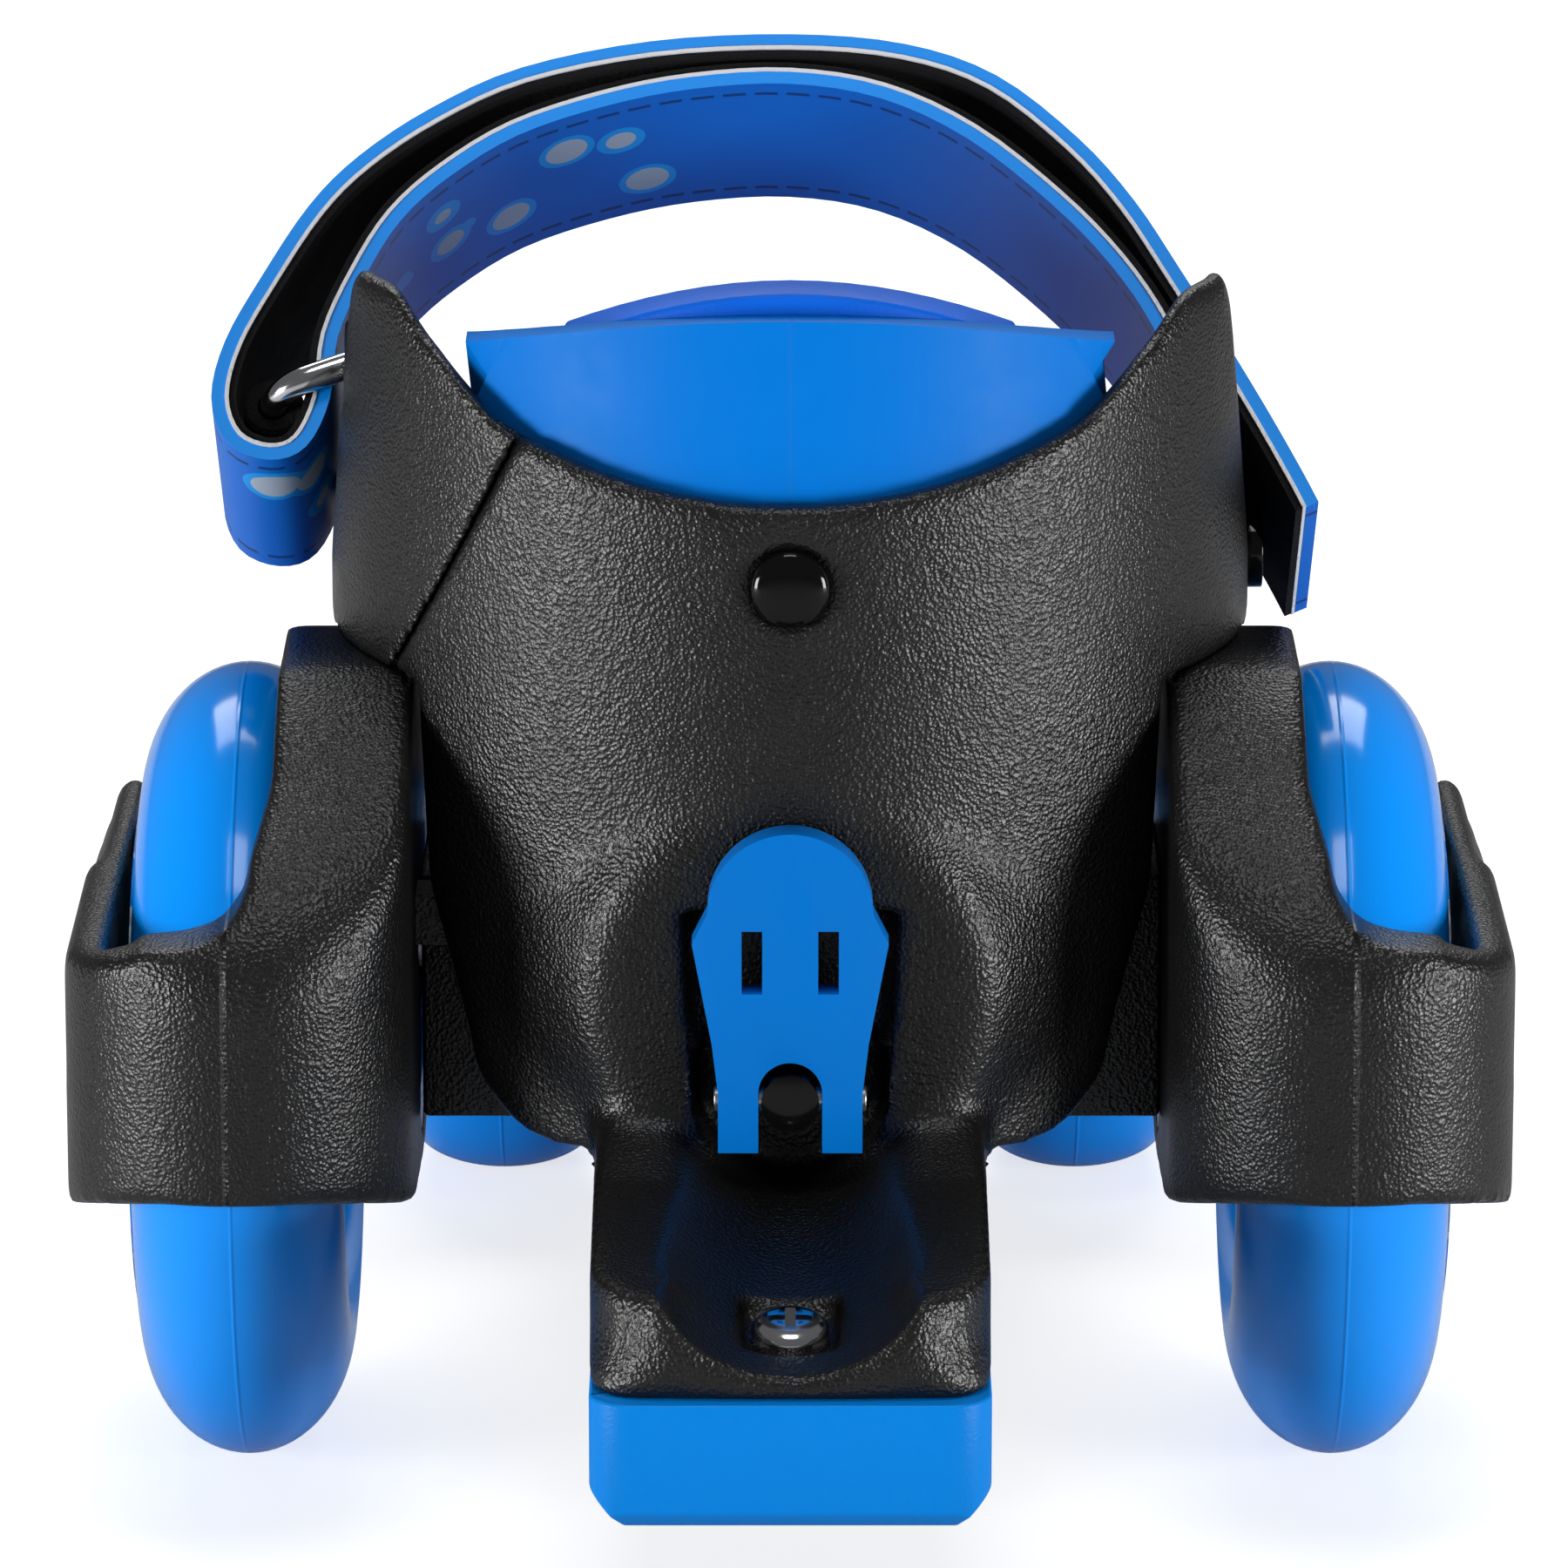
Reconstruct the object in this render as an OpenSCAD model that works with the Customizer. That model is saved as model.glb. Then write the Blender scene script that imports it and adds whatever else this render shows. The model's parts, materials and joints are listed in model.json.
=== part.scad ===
// Clip-on heel skate for a child's shoe: a heel cup between two large rear wheels
// and two small front wheels.
// A lever at the back turns a pinion that slides the left side out, so that the cup fits a wider shoe.
// Millimetres. +X is the wearer's right, +Y the way of travel, +Z up.
// The origin is on the floor, in the middle.

/* [Rear wheels] */
// Rear wheel diameter
wheel_d = 80; // [74:1:86]
// Rear wheel width
wheel_w = 21; // [18:0.5:23]
// Distance between the middles of the rear wheels
track = 109; // [107:0.5:116]
// Diameter of the axles
axle_d = 8; // [7:0.5:8]
// Outside diameter of the ball bearings
bearing_d = 22; // [20:0.5:24]
// Width of a ball bearing
bearing_w = 7; // [6:0.5:8]
// Radius of the hub that carries the rear tyre
hub_r = 27; // [22:0.5:29]

/* [Front wheels] */
// Front wheel diameter
front_wheel_d = 44; // [40:1:48]
// Front wheel width
front_wheel_w = 20; // [18:0.5:22]
// Distance between the middles of the front wheels
front_track = 63; // [60:0.5:70]
// Distance from the rear axle to the front axle
wheelbase = 95; // [88:1:110]

/* [Fenders] */
// Free space between a rear wheel's tread and its fender
fender_gap = 3; // [2.5:0.25:4]
// Thickness of the fender's wall behind the wheel
fender_wall = 4; // [3:0.25:5]
// Thickness of the fender's wall beside the cup
fender_inner_wall = 5; // [4.5:0.25:7]
// Thickness of the fender's outer arm
fender_arm = 4.5; // [4:0.25:6]
// Width of the strip that covers the tread beside the cup
fender_strip = 7.5; // [5:0.5:9]

/* [Heel cup] */
// Outside width of the cup across its wings
cup_w = 92; // [88:1:96]
// How far the cup reaches behind the rear axle
cup_back = 38; // [36:0.5:40]
// Thickness of the cup's wall
cup_wall = 3; // [2.5:0.25:4]
// How far the seat lies below the fender's ledge
seat_drop = 8.5; // [7:0.5:12]
// Thickness of the blue seat
seat_t = 4; // [3:0.5:6]
// Height of the cup's rim above the seat, at the back
rim_h = 30; // [26:1:34]
// Height of the wings above the seat
wing_h = 47; // [44:1:50]
// Radius of the rim's scooped curve
scoop_r = 68; // [60:1:80]
// Height of the blue heel liner above the seat
liner_h = 47.5; // [44:0.5:50]
// Thickness of the blue heel liner
liner_t = 3; // [2.5:0.25:4]
// Thickness of the soft heel cushion
cushion_t = 7; // [5:0.5:9]

/* [Width adjuster] */
// Teeth on the pinion
pinion_teeth = 16; // [14:1:18]
// Length of the lever above its pin
lever_reach = 27; // [22:0.5:30]
// Widest width of the lever
lever_w = 19; // [16:0.5:22]
// Thickness of the lever
lever_t = 3.6; // [3:0.1:4.5]
// Diameter of the lever's pin
pin_d = 2.5; // [2:0.1:3]
// Diameter of the rods that the left side slides on
rod_d = 5; // [4:0.5:6]

/* [Brake] */
// Width of the brake pad
brake_w = 38; // [34:0.5:42]
// Thickness of the brake pad
brake_t = 12.5; // [9:0.5:13.5]
// Height of the brake pad above the floor
brake_lift = 16.5; // [14:0.5:18]
// How far the brake pad reaches behind the rear axle
brake_reach = 78; // [75:0.5:84]

/* [Strap] */
// Width of the instep strap
strap_w = 25; // [22:0.5:27]
// Thickness of one layer of the strap
strap_t = 1.9; // [1.6:0.1:2.1]
// Lean of the strap from upright, in degrees
strap_tilt = 39; // [36:1:42]
// Diameter of the strap ring's wire
ring_d = 2.8; // [2.2:0.1:3.2]

/* [Hidden] */
$fn = 64;

// Colours
black = "#1d1d1f";
blue = "#0a74dc";
pale_blue = "#2f8be6";
steel = "#b8bcc2";

// Fits: a running fit, a gap between two pieces that slide, and a gap beside something soft
fit = 0.05;
slide_gap = 0.3;
seam_gap = 0.2;
soft_gap = 0.3;
far = 200;

// Heights
axle_z = wheel_d / 2;
fender_r = wheel_d / 2 + fender_gap + fender_wall;
ledge_cut = 2.5;
ledge_z = axle_z + fender_r - ledge_cut;
seat_z = ledge_z - seat_drop;
rim_z = seat_z + rim_h;
wing_z = seat_z + wing_h;
foot_z = axle_z + 0.5;
beam_top = seat_z - seat_t - 10;

// Places across the skate
wheel_x = track / 2;
wheel_side_gap = 2;
arm_side_gap = 1.3;
fender_in_face = wheel_x - wheel_w / 2 - wheel_side_gap;
fender_in = fender_in_face - fender_inner_wall;
arm_in = wheel_x + wheel_w / 2 + arm_side_gap;
fender_out = arm_in + fender_arm;
strip_x = fender_in_face + fender_strip;
bowl_x = fender_in - 0.5;

// The whole skate is centred on the origin, from the brake pad to the front wheels
rear_axle_y = (brake_reach - wheelbase - front_wheel_d / 2) / 2;

module on_frame() {
    translate([0, rear_axle_y, 0]) children();
}

// An outline in x and z, extruded along y
module along_y(y0, y1) {
    translate([0, y1, 0]) rotate([90, 0, 0]) linear_extrude(y1 - y0) children();
}

// An outline in y and z, extruded along x
module along_x(x0, x1) {
    translate([x0, 0, 0]) rotate([90, 0, 90]) linear_extrude(x1 - x0) children();
}

module rod_x(x0, x1, d) {
    translate([x0, 0, 0]) rotate([0, 90, 0]) cylinder(d = d, h = x1 - x0);
}

module rod_y(y0, y1, d) {
    translate([0, y1, 0]) rotate([90, 0, 0]) cylinder(d = d, h = y1 - y0);
}

module slab(x0, x1, y0, y1, z0, z1) {
    translate([x0, y0, z0]) cube([x1 - x0, y1 - y0, z1 - z0]);
}

// Heel cup

// The cup's back is a half circle seen from above, and its sides run straight forwards
cup_r = cup_w / 2;
cup_y = cup_r - cup_back;
cup_front = 28;
body_front = 26;

module cup_plan(inset) {
    translate([0, cup_y]) circle(r = cup_r - inset, $fn = 128);
    translate([inset - cup_r, cup_y]) square([cup_w - 2 * inset, far]);
}

// Seen from behind: the wings lean in a little, and a round scoop cuts the rim
wing_lean = 3;
scoop_z = rim_z + scoop_r;

module upper_outline(inset, top) {
    x0 = cup_r - inset;
    x1 = x0 - wing_lean;
    polygon([[-x0, ledge_z], [x0, ledge_z], [x0, ledge_z + 6], [x1, top], [-x1, top], [-x0, ledge_z + 6]]);
}

// Seen from behind: the lower body tapers a little and has round lower corners
bowl_corner_r = 9;
bowl_taper = 5;

module lower_outline(inset, bottom) {
    x0 = bowl_x - inset;
    x1 = x0 - bowl_taper;
    z1 = bottom + bowl_corner_r;
    polygon([[-x0, ledge_z], [x0, ledge_z], [x0 - 1, ledge_z - 20], [x1, z1], [x1 - bowl_corner_r, bottom],
        [bowl_corner_r - x1, bottom], [-x1, z1], [1 - x0, ledge_z - 20]]);
    for (side = [-1, 1])
        translate([side * (x1 - bowl_corner_r), z1]) circle(r = bowl_corner_r - 0.01);
}

// Seen from the side: the wings are fins, whose front edge runs beside the strap
tip_r = 4;
tip_y = -6;

module wing_side() {
    polygon([[-far, ledge_z], [-far, wing_z], [tip_y, wing_z], [tip_y + tip_r, wing_z - tip_r / 2],
        [4.5, strap_edge_z(4.5)], [cup_front, strap_edge_z(cup_front)], [cup_front, ledge_z]]);
}

// Seen from the side: the lower body draws in towards its foot, and steps over the axle beam
belly_r = 200;
belly_y = belly_r - cup_back;

module lower_side(inset) {
    intersection() {
        translate([belly_y, ledge_z]) circle(r = belly_r - inset, $fn = 128);
        union() {
            translate([-far, beam_top]) square([far + body_front, far]);
            translate([-far, 0]) square([far - beam_y, far]);
        }
    }
}

module upper_solid() {
    intersection() {
        translate([0, 0, ledge_z]) linear_extrude(wing_z - ledge_z) cup_plan(0);
        along_y(-far, far) upper_outline(0, wing_z + 0.1);
        along_x(-far, far) wing_side();
    }
}

module upper_cavity() {
    intersection() {
        translate([0, 0, ledge_z - 1]) linear_extrude(far) cup_plan(cup_wall);
        along_y(-far, far) {
            upper_outline(cup_wall, wing_z + 5);
            translate([cup_wall - cup_r, ledge_z - 2]) square([cup_w - 2 * cup_wall, 4]);
        }
    }
}

module lower_solid() {
    intersection() {
        translate([0, 0, foot_z]) linear_extrude(ledge_z - foot_z) cup_plan(0);
        along_y(-far, far) lower_outline(0, foot_z);
        along_x(-far, far) lower_side(0);
    }
}

module lower_cavity() {
    intersection() {
        linear_extrude(far) cup_plan(cup_wall);
        along_y(-far, far) {
            lower_outline(cup_wall, foot_z - bowl_corner_r);
            translate([cup_wall - bowl_x, ledge_z - 1]) square([2 * (bowl_x - cup_wall), 2]);
        }
        along_x(-far, far) translate([belly_y, ledge_z]) circle(r = belly_r - cup_wall, $fn = 128);
    }
}

// The scoop is flat in the middle and steeper towards the wing tips
scoop_side_r = 0.676 * scoop_r;
scoop_side_z = rim_z + 0.625 * scoop_r;

module scoop() {
    along_y(-far, 0) intersection() {
        translate([0, scoop_z]) circle(r = scoop_r, $fn = 128);
        translate([0, scoop_side_z]) circle(r = scoop_side_r, $fn = 128);
    }
}

// The joint between the cup and its sliding left wing, seen from behind
seam_top = [-25.5, rim_z + 6];
seam_foot = [-fender_in - 2, ledge_z];

// Behind the joint, the cup laps under the wing with the inner part of its wall
lap_w = 4;
lap_t = 1.4;

module seam_lap() {
    intersection() {
        difference() {
            upper_solid();
            upper_cavity();
            scoop();
        }
        translate([0, 0, ledge_z]) linear_extrude(far) cup_plan(cup_wall - lap_t);
        difference() {
            left_of_seam(0);
            left_of_seam(lap_w);
        }
    }
}

module left_of_seam(gap) {
    dx = (seam_top[0] - seam_foot[0]) / (seam_top[1] - seam_foot[1]) * 30;
    along_y(-far, far)
        polygon([[-far, ledge_z - gap], [seam_foot[0] - gap, ledge_z - gap], [seam_foot[0] - gap, ledge_z],
            [seam_top[0] - gap, seam_top[1]], [seam_top[0] + dx - gap, seam_top[1] + 30],
            [-far, seam_top[1] + 30]]);
}

// The pinion and its rack
gear_module = 1;
addendum = 0.8;
dedendum = 1.05;
backlash = 0.2;
pressure_deg = 20;
pinion_r = pinion_teeth * gear_module / 2;
pinion_outer_r = pinion_r + addendum;
pinion_root_r = pinion_r - dedendum;

// The nose carries the lever's spindle, and the arm below it carries the brake pad
spindle_z = axle_z + 7.7;
leg_out = 7;
leg_drop = 5;
nose_r = 19.5;
nose_z = spindle_z + 9.3;
nose_back = cup_back - 0.5;
lever_gap = 0.4;
lever_y = -cup_back - lever_gap - lever_t / 2;
recess_floor = nose_back - 5.5;
recess_r = norm([leg_out, leg_drop]) + 0.8;
chamber_back = 19.5;
boss_r = 12;
chamber_r = pinion_outer_r + 1.5;
spindle_d = 8;

arm_z = brake_lift + brake_t;
arm_x = brake_w / 2;
arm_back = brake_reach - 1;
arm_root = 27;
rail_back_h = 3;
rail_front_z = foot_z + 4;
trough_r = 14.7;
screw_seat = 9.6;
screw_sink = 1.2;
trough_lean = 11;
screw_y = 11 - brake_reach;
trough_z = foot_z - 1.7 - (nose_back + screw_y) * -tan(trough_lean);
screw_d = 4;
screw_head_d = 7.5;
screw_head_h = 2.4;
screw_len = 13;

// The nose stands out of the cup's back, and its boss inside carries the spindle
module nose() {
    translate([0, -nose_back, nose_z]) rotate([-90, 0, 0]) cylinder(r1 = nose_r, r2 = nose_r + 8, h = 8);
}

module spindle_boss() {
    intersection() {
        translate([0, 0, spindle_z]) rod_y(-nose_back + 3, -chamber_back, 2 * boss_r);
        slab(-far, far, -far, far, foot_z - 1, far);
    }
}

module arm() {
    difference() {
        along_x(-arm_x, arm_x)
            polygon([[-arm_root, rail_front_z], [-arm_root, arm_z + 8], [-34, arm_z],
                [-arm_back, arm_z], [-arm_back, arm_z + rail_back_h], [-nose_back, rail_front_z]]);
        trough();
    }
}

// Everything that stands on the trough's leaning floor
module on_trough() {
    translate([0, screw_y, trough_z]) rotate([trough_lean, 0, 0]) children();
}

module trough() {
    on_trough() {
        translate([0, 0, trough_r]) rod_y(-30, -screw_y - nose_back + 4, 2 * trough_r);
        translate([0, 0, -30]) cylinder(d = screw_d + 4 * fit, h = 40);
        translate([-screw_seat / 2, -screw_seat / 2, -screw_sink])
            cube([screw_seat, screw_seat, 2 * screw_sink]);
    }
}

module lever_recess() {
    translate([0, 0, spindle_z]) {
        rod_y(-far, -recess_floor, 2 * recess_r);
        rod_y(-far, -10, spindle_d + 2 * fit);
        rod_y(-chamber_back, 0, 2 * chamber_r);
        along_y(-far, 2.2 - nose_back)
            polygon([[-recess_r, 0], [recess_r, 0], [lever_w / 2 + 1, 18], [-lever_w / 2 - 1, 18]]);
    }
}

// The rack passes through this window into the left side
module rack_window() {
    slab(-fender_in, -20, rack_y0 - 1, rack_y1 + 1, rack_pitch_z - 2, rack_top + 1);
}

rivet_z = seat_z + 22;
rivet_head_d = 7.6;
rivet_d = 5;

module heel_shell() {
    color(black) difference() {
        union() {
            difference() {
                union() {
                    upper_solid();
                    lower_solid();
                    nose();
                    arm();
                }
                upper_cavity();
                lower_cavity();
                scoop();
                left_of_seam(0);
            }
            spindle_boss();
            seam_lap();
        }
        lever_recess();
        rack_window();
        translate([0, 0, rivet_z]) {
            rod_y(-far, 0, rivet_d + 2 * fit);
            rod_y(-far, -cup_back + 1, rivet_head_d + 1);
        }
        strap_rivet_at() rod_x(-10, 10, strap_rivet_d + 2 * fit);
    }
}

// The left wing slides with the left fender. Its lug holds the strap's ring.
module left_wing() {
    color(black) difference() {
        union() {
            intersection() {
                difference() {
                    upper_solid();
                    upper_cavity();
                    scoop();
                }
                left_of_seam(seam_gap);
            }
            ring_lug();
        }
        difference() {
            translate([0, 0, ledge_z - 1]) linear_extrude(far) cup_plan(cup_wall - lap_t - 0.1);
            left_of_seam(lap_w + slide_gap);
        }
        strap_ring_wire(ring_d + 2 * fit, 3);
    }
}

// Fenders

hoop_top = 21;
hoop_front_top = 15.5;
corner_r = (fender_out - fender_in) / 2 - 1.4;
room_wall = 3;

// The part of a square corner that a round corner leaves off. The corner points to (sx, sy).
module corner_cut(sx, sy, r) {
    difference() {
        translate([sx > 0 ? -r : -1, sy > 0 ? -r : -1]) square(r + 1);
        translate([-sx * r, -sy * r]) circle(r = r);
    }
}

// Seen from above: the fender is a hoop round the wheel, almost half round at its back
module fender_plan(inset) {
    r = corner_r - inset;
    x0 = fender_in + inset;
    x1 = fender_out - inset;
    y1 = fender_r - inset;
    difference() {
        translate([x0, -y1]) square([x1 - x0, 2 * y1]);
        translate([x0, -y1]) corner_cut(-1, -1, r);
        translate([x1, -y1]) corner_cut(1, -1, r);
        translate([x1, y1]) corner_cut(1, 1, r);
    }
}

// Seen from behind: a low band all across, which sweeps up into the strip beside the cup
sweep_r = 6;
band_rise = 3;

module fender_back() {
    x0 = fender_in - 1;
    x1 = strip_x + 3;
    band_z = axle_z + hoop_top;
    z1 = band_z + band_rise;
    difference() {
        polygon([[x0, 0], [fender_out, 0], [fender_out, band_z], [arm_in - 4, band_z + band_rise - 0.5],
            [x1 + sweep_r, z1], [x1, z1 + sweep_r], [strip_x + 1, z1 + 2 * sweep_r],
            [strip_x - 0.5, far], [x0, far]]);
        translate([x1 + sweep_r, z1 + sweep_r]) circle(r = sweep_r);
    }
}

// Seen from the side: a round guard over the wheel's back, on a band at the height of the axle
band_foot = 1;
band_drop = 11;
guard_front = 3;
panel_r = 36;

module band_side() {
    polygon([[-fender_r, axle_z - band_foot], [-20, axle_z - band_drop + 2], [0, axle_z - band_drop],
        [20, axle_z - band_drop + 2], [fender_r, axle_z - band_foot], [fender_r, axle_z + hoop_front_top],
        [0, axle_z + hoop_top - 2], [-fender_r * 0.6, axle_z + hoop_top + 20],
        [-fender_r, axle_z + hoop_top + 20]]);
}

module panel_side() {
    intersection() {
        union() {
            intersection() {
                translate([0, axle_z]) circle(r = fender_r, $fn = 128);
                translate([-far, 0]) square([far + guard_front, ledge_z]);
            }
            translate([0, axle_z]) circle(r = panel_r);
        }
        polygon([[-fender_r, axle_z - band_foot], [-20, axle_z - band_drop + 2], [0, axle_z - band_drop],
            [20, axle_z - band_drop + 2], [fender_r, axle_z - band_foot],
            [fender_r, far], [-fender_r, far]]);
    }
}

module hex_pocket(x0, x1, across) {
    translate([x0, 0, axle_z]) rotate([0, 90, 0]) cylinder(d = across / cos(30), h = x1 - x0, $fn = 6);
}

axle_head_d = 12;
axle_head_h = 2.6;
nut_across = 13;
nut_h = 3.6;

// The right fender. The left one is its mirror image.
module fender() {
    difference() {
        intersection() {
            union() {
                along_x(fender_in, fender_out) intersection() {
                    band_side();
                    union() {
                        translate([0, axle_z]) circle(r = fender_r, $fn = 128);
                        translate([-far, 0]) square([2 * far, axle_z]);
                    }
                }
                along_x(fender_in, strip_x + 20) panel_side();
            }
            linear_extrude(far) fender_plan(0);
            along_y(-far, far) fender_back();
        }
        intersection() {
            union() {
                translate([0, 0, axle_z]) rod_x(fender_in_face, arm_in, wheel_d + 2 * fender_gap);
                slab(fender_in_face, arm_in, -wheel_d / 2 - fender_gap, wheel_d / 2 + fender_gap, 0, axle_z);
            }
            linear_extrude(far) fender_plan(room_wall);
        }
        translate([0, 0, axle_z]) {
            rod_x(0, far, axle_d + 2 * fit);
            rod_x(fender_out - axle_head_h - 0.2, far, axle_head_d + 0.4);
        }
        hex_pocket(fender_in - 1, fender_in + nut_h + 0.1, nut_across + 0.2);
    }
}

module right_fender() {
    color(black) fender();
}

module left_fender() {
    color(black) difference() {
        mirror([1, 0, 0]) fender();
        for (y = rod_ys) translate([0, y, rod_z]) rod_x(1 - fender_in_face, 0, rod_d + 2 * fit);
    }
}

// Chassis under the seat

beam_y = 11;
beam_foot = axle_z - 3;
rod_ys = [-6.5, 6.5];
rod_z = beam_top - 8;
rod_len = 36;
keel_x = front_track / 2 - front_wheel_w / 2 - 4.5;
keel_front_r = 9;
front_axle_z = front_wheel_d / 2;

module axle_beam() {
    color(black) difference() {
        slab(-fender_in + slide_gap, fender_in, -beam_y, beam_y, beam_foot, beam_top);
        for (y = rod_ys) translate([0, y, rod_z]) rod_x(-far, 2, rod_d + 2 * fit);
        for (side = [-1, 1]) translate([side * fender_in / 2, 0, 0])
            slab(-10, 10, -beam_y + 3, beam_y - 3, beam_foot - 1, rod_z - rod_d);
    }
}

module keel() {
    saddle_z = seat_z - seat_t;
    color(black) difference() {
        union() {
            along_x(-keel_x, keel_x)
                polygon([[-beam_y, beam_top], [-beam_y, saddle_z], [50, saddle_z],
                    [wheelbase + keel_front_r * 0.4, front_axle_z + keel_front_r * 0.6],
                    [wheelbase - 2, front_axle_z - keel_front_r * 0.8], [beam_y + 10, beam_foot + 1],
                    [beam_y, beam_foot + 1], [beam_y, beam_top]]);
            translate([0, wheelbase, front_axle_z]) rod_x(-keel_x, keel_x, 2 * keel_front_r);
        }
        along_x(3 - keel_x, keel_x - 3)
            polygon([[beam_y + 3, 0], [beam_y + 3, saddle_z - 4], [46, saddle_z - 4],
                [wheelbase - keel_front_r - 3, front_axle_z + keel_front_r - 1],
                [wheelbase - keel_front_r - 3, 0]]);
        translate([0, wheelbase, front_axle_z]) rod_x(-far, far, axle_d + 2 * fit);
    }
}

// Blue heel seat, liner and cushion

liner_tip_x = 31.5;
liner_tip_drop = 5;
liner_foot_x = 27;
seat_front = 50;

// An arc over a chord from -x to x at height z, which rises by h in the middle
function crown_points(x, z, h, n) =
    [for (i = [0 : n]) let (t = -1 + 2 * i / n) [t * x, z + h * (1 - t * t)]];

module liner_outline() {
    z = seat_z + liner_h - liner_tip_drop;
    polygon(concat(crown_points(liner_tip_x, z, liner_tip_drop, 16),
        [[liner_foot_x, z - 6], [liner_foot_x, seat_z - 1],
            [-liner_foot_x, seat_z - 1], [-liner_foot_x, z - 6]]));
}

// A shell round the heel, between two distances in from the cup's outer face
module heel_wall(inset0, inset1) {
    translate([0, cup_y, seat_z - 2]) difference() {
        cylinder(r = cup_r - inset0, h = far, $fn = 128);
        translate([0, 0, -1]) cylinder(r = cup_r - inset1, h = far + 2, $fn = 128);
    }
}

module heel_cradle() {
    inset = cup_wall + soft_gap;
    color(blue) difference() {
        union() {
            intersection() {
                translate([0, 0, seat_z - seat_t]) linear_extrude(seat_t) intersection() {
                    cup_plan(inset + 1.2);
                    translate([-bowl_x + cup_wall + 1.3, -far])
                        square([2 * (bowl_x - cup_wall - 1.3), far + seat_front]);
                }
                along_x(-far, far) translate([belly_y, ledge_z]) circle(r = belly_r - inset, $fn = 128);
            }
            intersection() {
                heel_wall(inset, inset + liner_t);
                along_y(-far, 0) liner_outline();
            }
        }
        translate([0, 0, rivet_z]) rod_y(-far, 0, rivet_d + 2 * fit);
    }
}

cushion_x = 22;
cushion_rise = 6;
cushion_lift = 3;

module heel_cushion() {
    inset = cup_wall + liner_t + 2 * soft_gap;
    top = seat_z + liner_h + 2 - cushion_rise;
    color(pale_blue) intersection() {
        heel_wall(inset, inset + cushion_t);
        along_y(-far, 0)
            polygon(concat(crown_points(cushion_x, top, cushion_rise, 16),
                [[cushion_x, seat_z + cushion_lift], [-cushion_x, seat_z + cushion_lift]]));
    }
}

module liner_rivet() {
    head_back = cup_back + 0.6;
    color(black) translate([0, 0, rivet_z]) {
        rod_y(-head_back, -cup_back + 1, rivet_head_d);
        rod_y(-cup_back, -cup_back + cup_wall + liner_t, rivet_d);
    }
}

// Brake

module brake_pad() {
    chamfer = 2.4;
    side_chamfer = 4.6;
    edge_r = 4;
    front = 26 - brake_reach;
    color(blue) difference() {
        translate([0, 0, brake_lift]) linear_extrude(brake_t) {
            translate([-arm_x, edge_r - brake_reach]) square([brake_w, brake_reach + front - edge_r]);
            translate([edge_r - arm_x, -brake_reach]) square([brake_w - 2 * edge_r, edge_r + 1]);
            for (side = [-1, 1])
                translate([side * (arm_x - edge_r), edge_r - brake_reach]) circle(r = edge_r);
        }
        for (side = [-1, 1])
            translate([side * arm_x, 0, brake_lift]) rotate([0, 45, 0])
                cube([side_chamfer, far, side_chamfer], center = true);
        translate([0, -brake_reach, brake_lift]) rotate([45, 0, 0])
            cube([far, chamfer, chamfer], center = true);
        on_trough() translate([0, 0, -screw_len - 1]) cylinder(d = screw_d + 4 * fit, h = far);
    }
}

module brake_screw() {
    color(steel) on_trough() difference() {
        union() {
            translate([0, 0, -screw_sink]) cylinder(d = screw_head_d, h = screw_head_h);
            translate([0, 0, -screw_len]) cylinder(d = screw_d, h = screw_len - screw_sink + 0.1);
        }
        for (a = [0, 90]) rotate([0, 0, a]) translate([-2.2, -0.5, screw_head_h - 2.4])
            cube([4.4, 1, screw_head_h]);
    }
}

// Width adjuster

pinion_y0 = -chamber_back + 1.9;
pinion_w = 6.2;
rack_y0 = pinion_y0;
rack_y1 = pinion_y0 + pinion_w;
rack_pitch_z = spindle_z + pinion_r;
rack_top = rack_pitch_z + 6;
rack_right = 18;
post_d = 5.6;
post_back = -lever_y + 1.8;

// Involute flank: the angle of the curve at radius r, on a base circle rb
function inv_deg(r, rb) = let (a = acos(min(1, rb / r))) tan(a) * 180 / PI - a;

// One tooth of the pinion, centred on angle c
function tooth_points(c) =
    let (rb = pinion_r * cos(pressure_deg),
        half = 90 / pinion_teeth - backlash / 2 / pinion_r * 180 / PI / 2 + inv_deg(pinion_r, rb),
        steps = 5,
        foot_r = max(rb, pinion_root_r),
        radii = [for (i = [0 : steps]) foot_r + (pinion_outer_r - foot_r) * i / steps],
        left = [for (r = radii) let (a = c + half - inv_deg(r, rb)) [r * sin(a), r * cos(a)]],
        right = [for (i = [steps : -1 : 0]) let (r = radii[i], a = c - half + inv_deg(r, rb))
            [r * sin(a), r * cos(a)]],
        root = c - 180 / pinion_teeth)
    concat([[pinion_root_r * sin(c + half), pinion_root_r * cos(c + half)]], left, right,
        [[pinion_root_r * sin(c - half), pinion_root_r * cos(c - half)],
            [pinion_root_r * sin(root), pinion_root_r * cos(root)]]);

module pinion() {
    color(steel) translate([0, pinion_y0 + pinion_w, spindle_z]) rotate([90, 0, 0]) linear_extrude(pinion_w)
        difference() {
            polygon([for (i = [0 : pinion_teeth - 1]) for (p = tooth_points(-i * 360 / pinion_teeth)) p]);
            circle(d = spindle_d + 2 * fit);
        }
}

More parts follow.
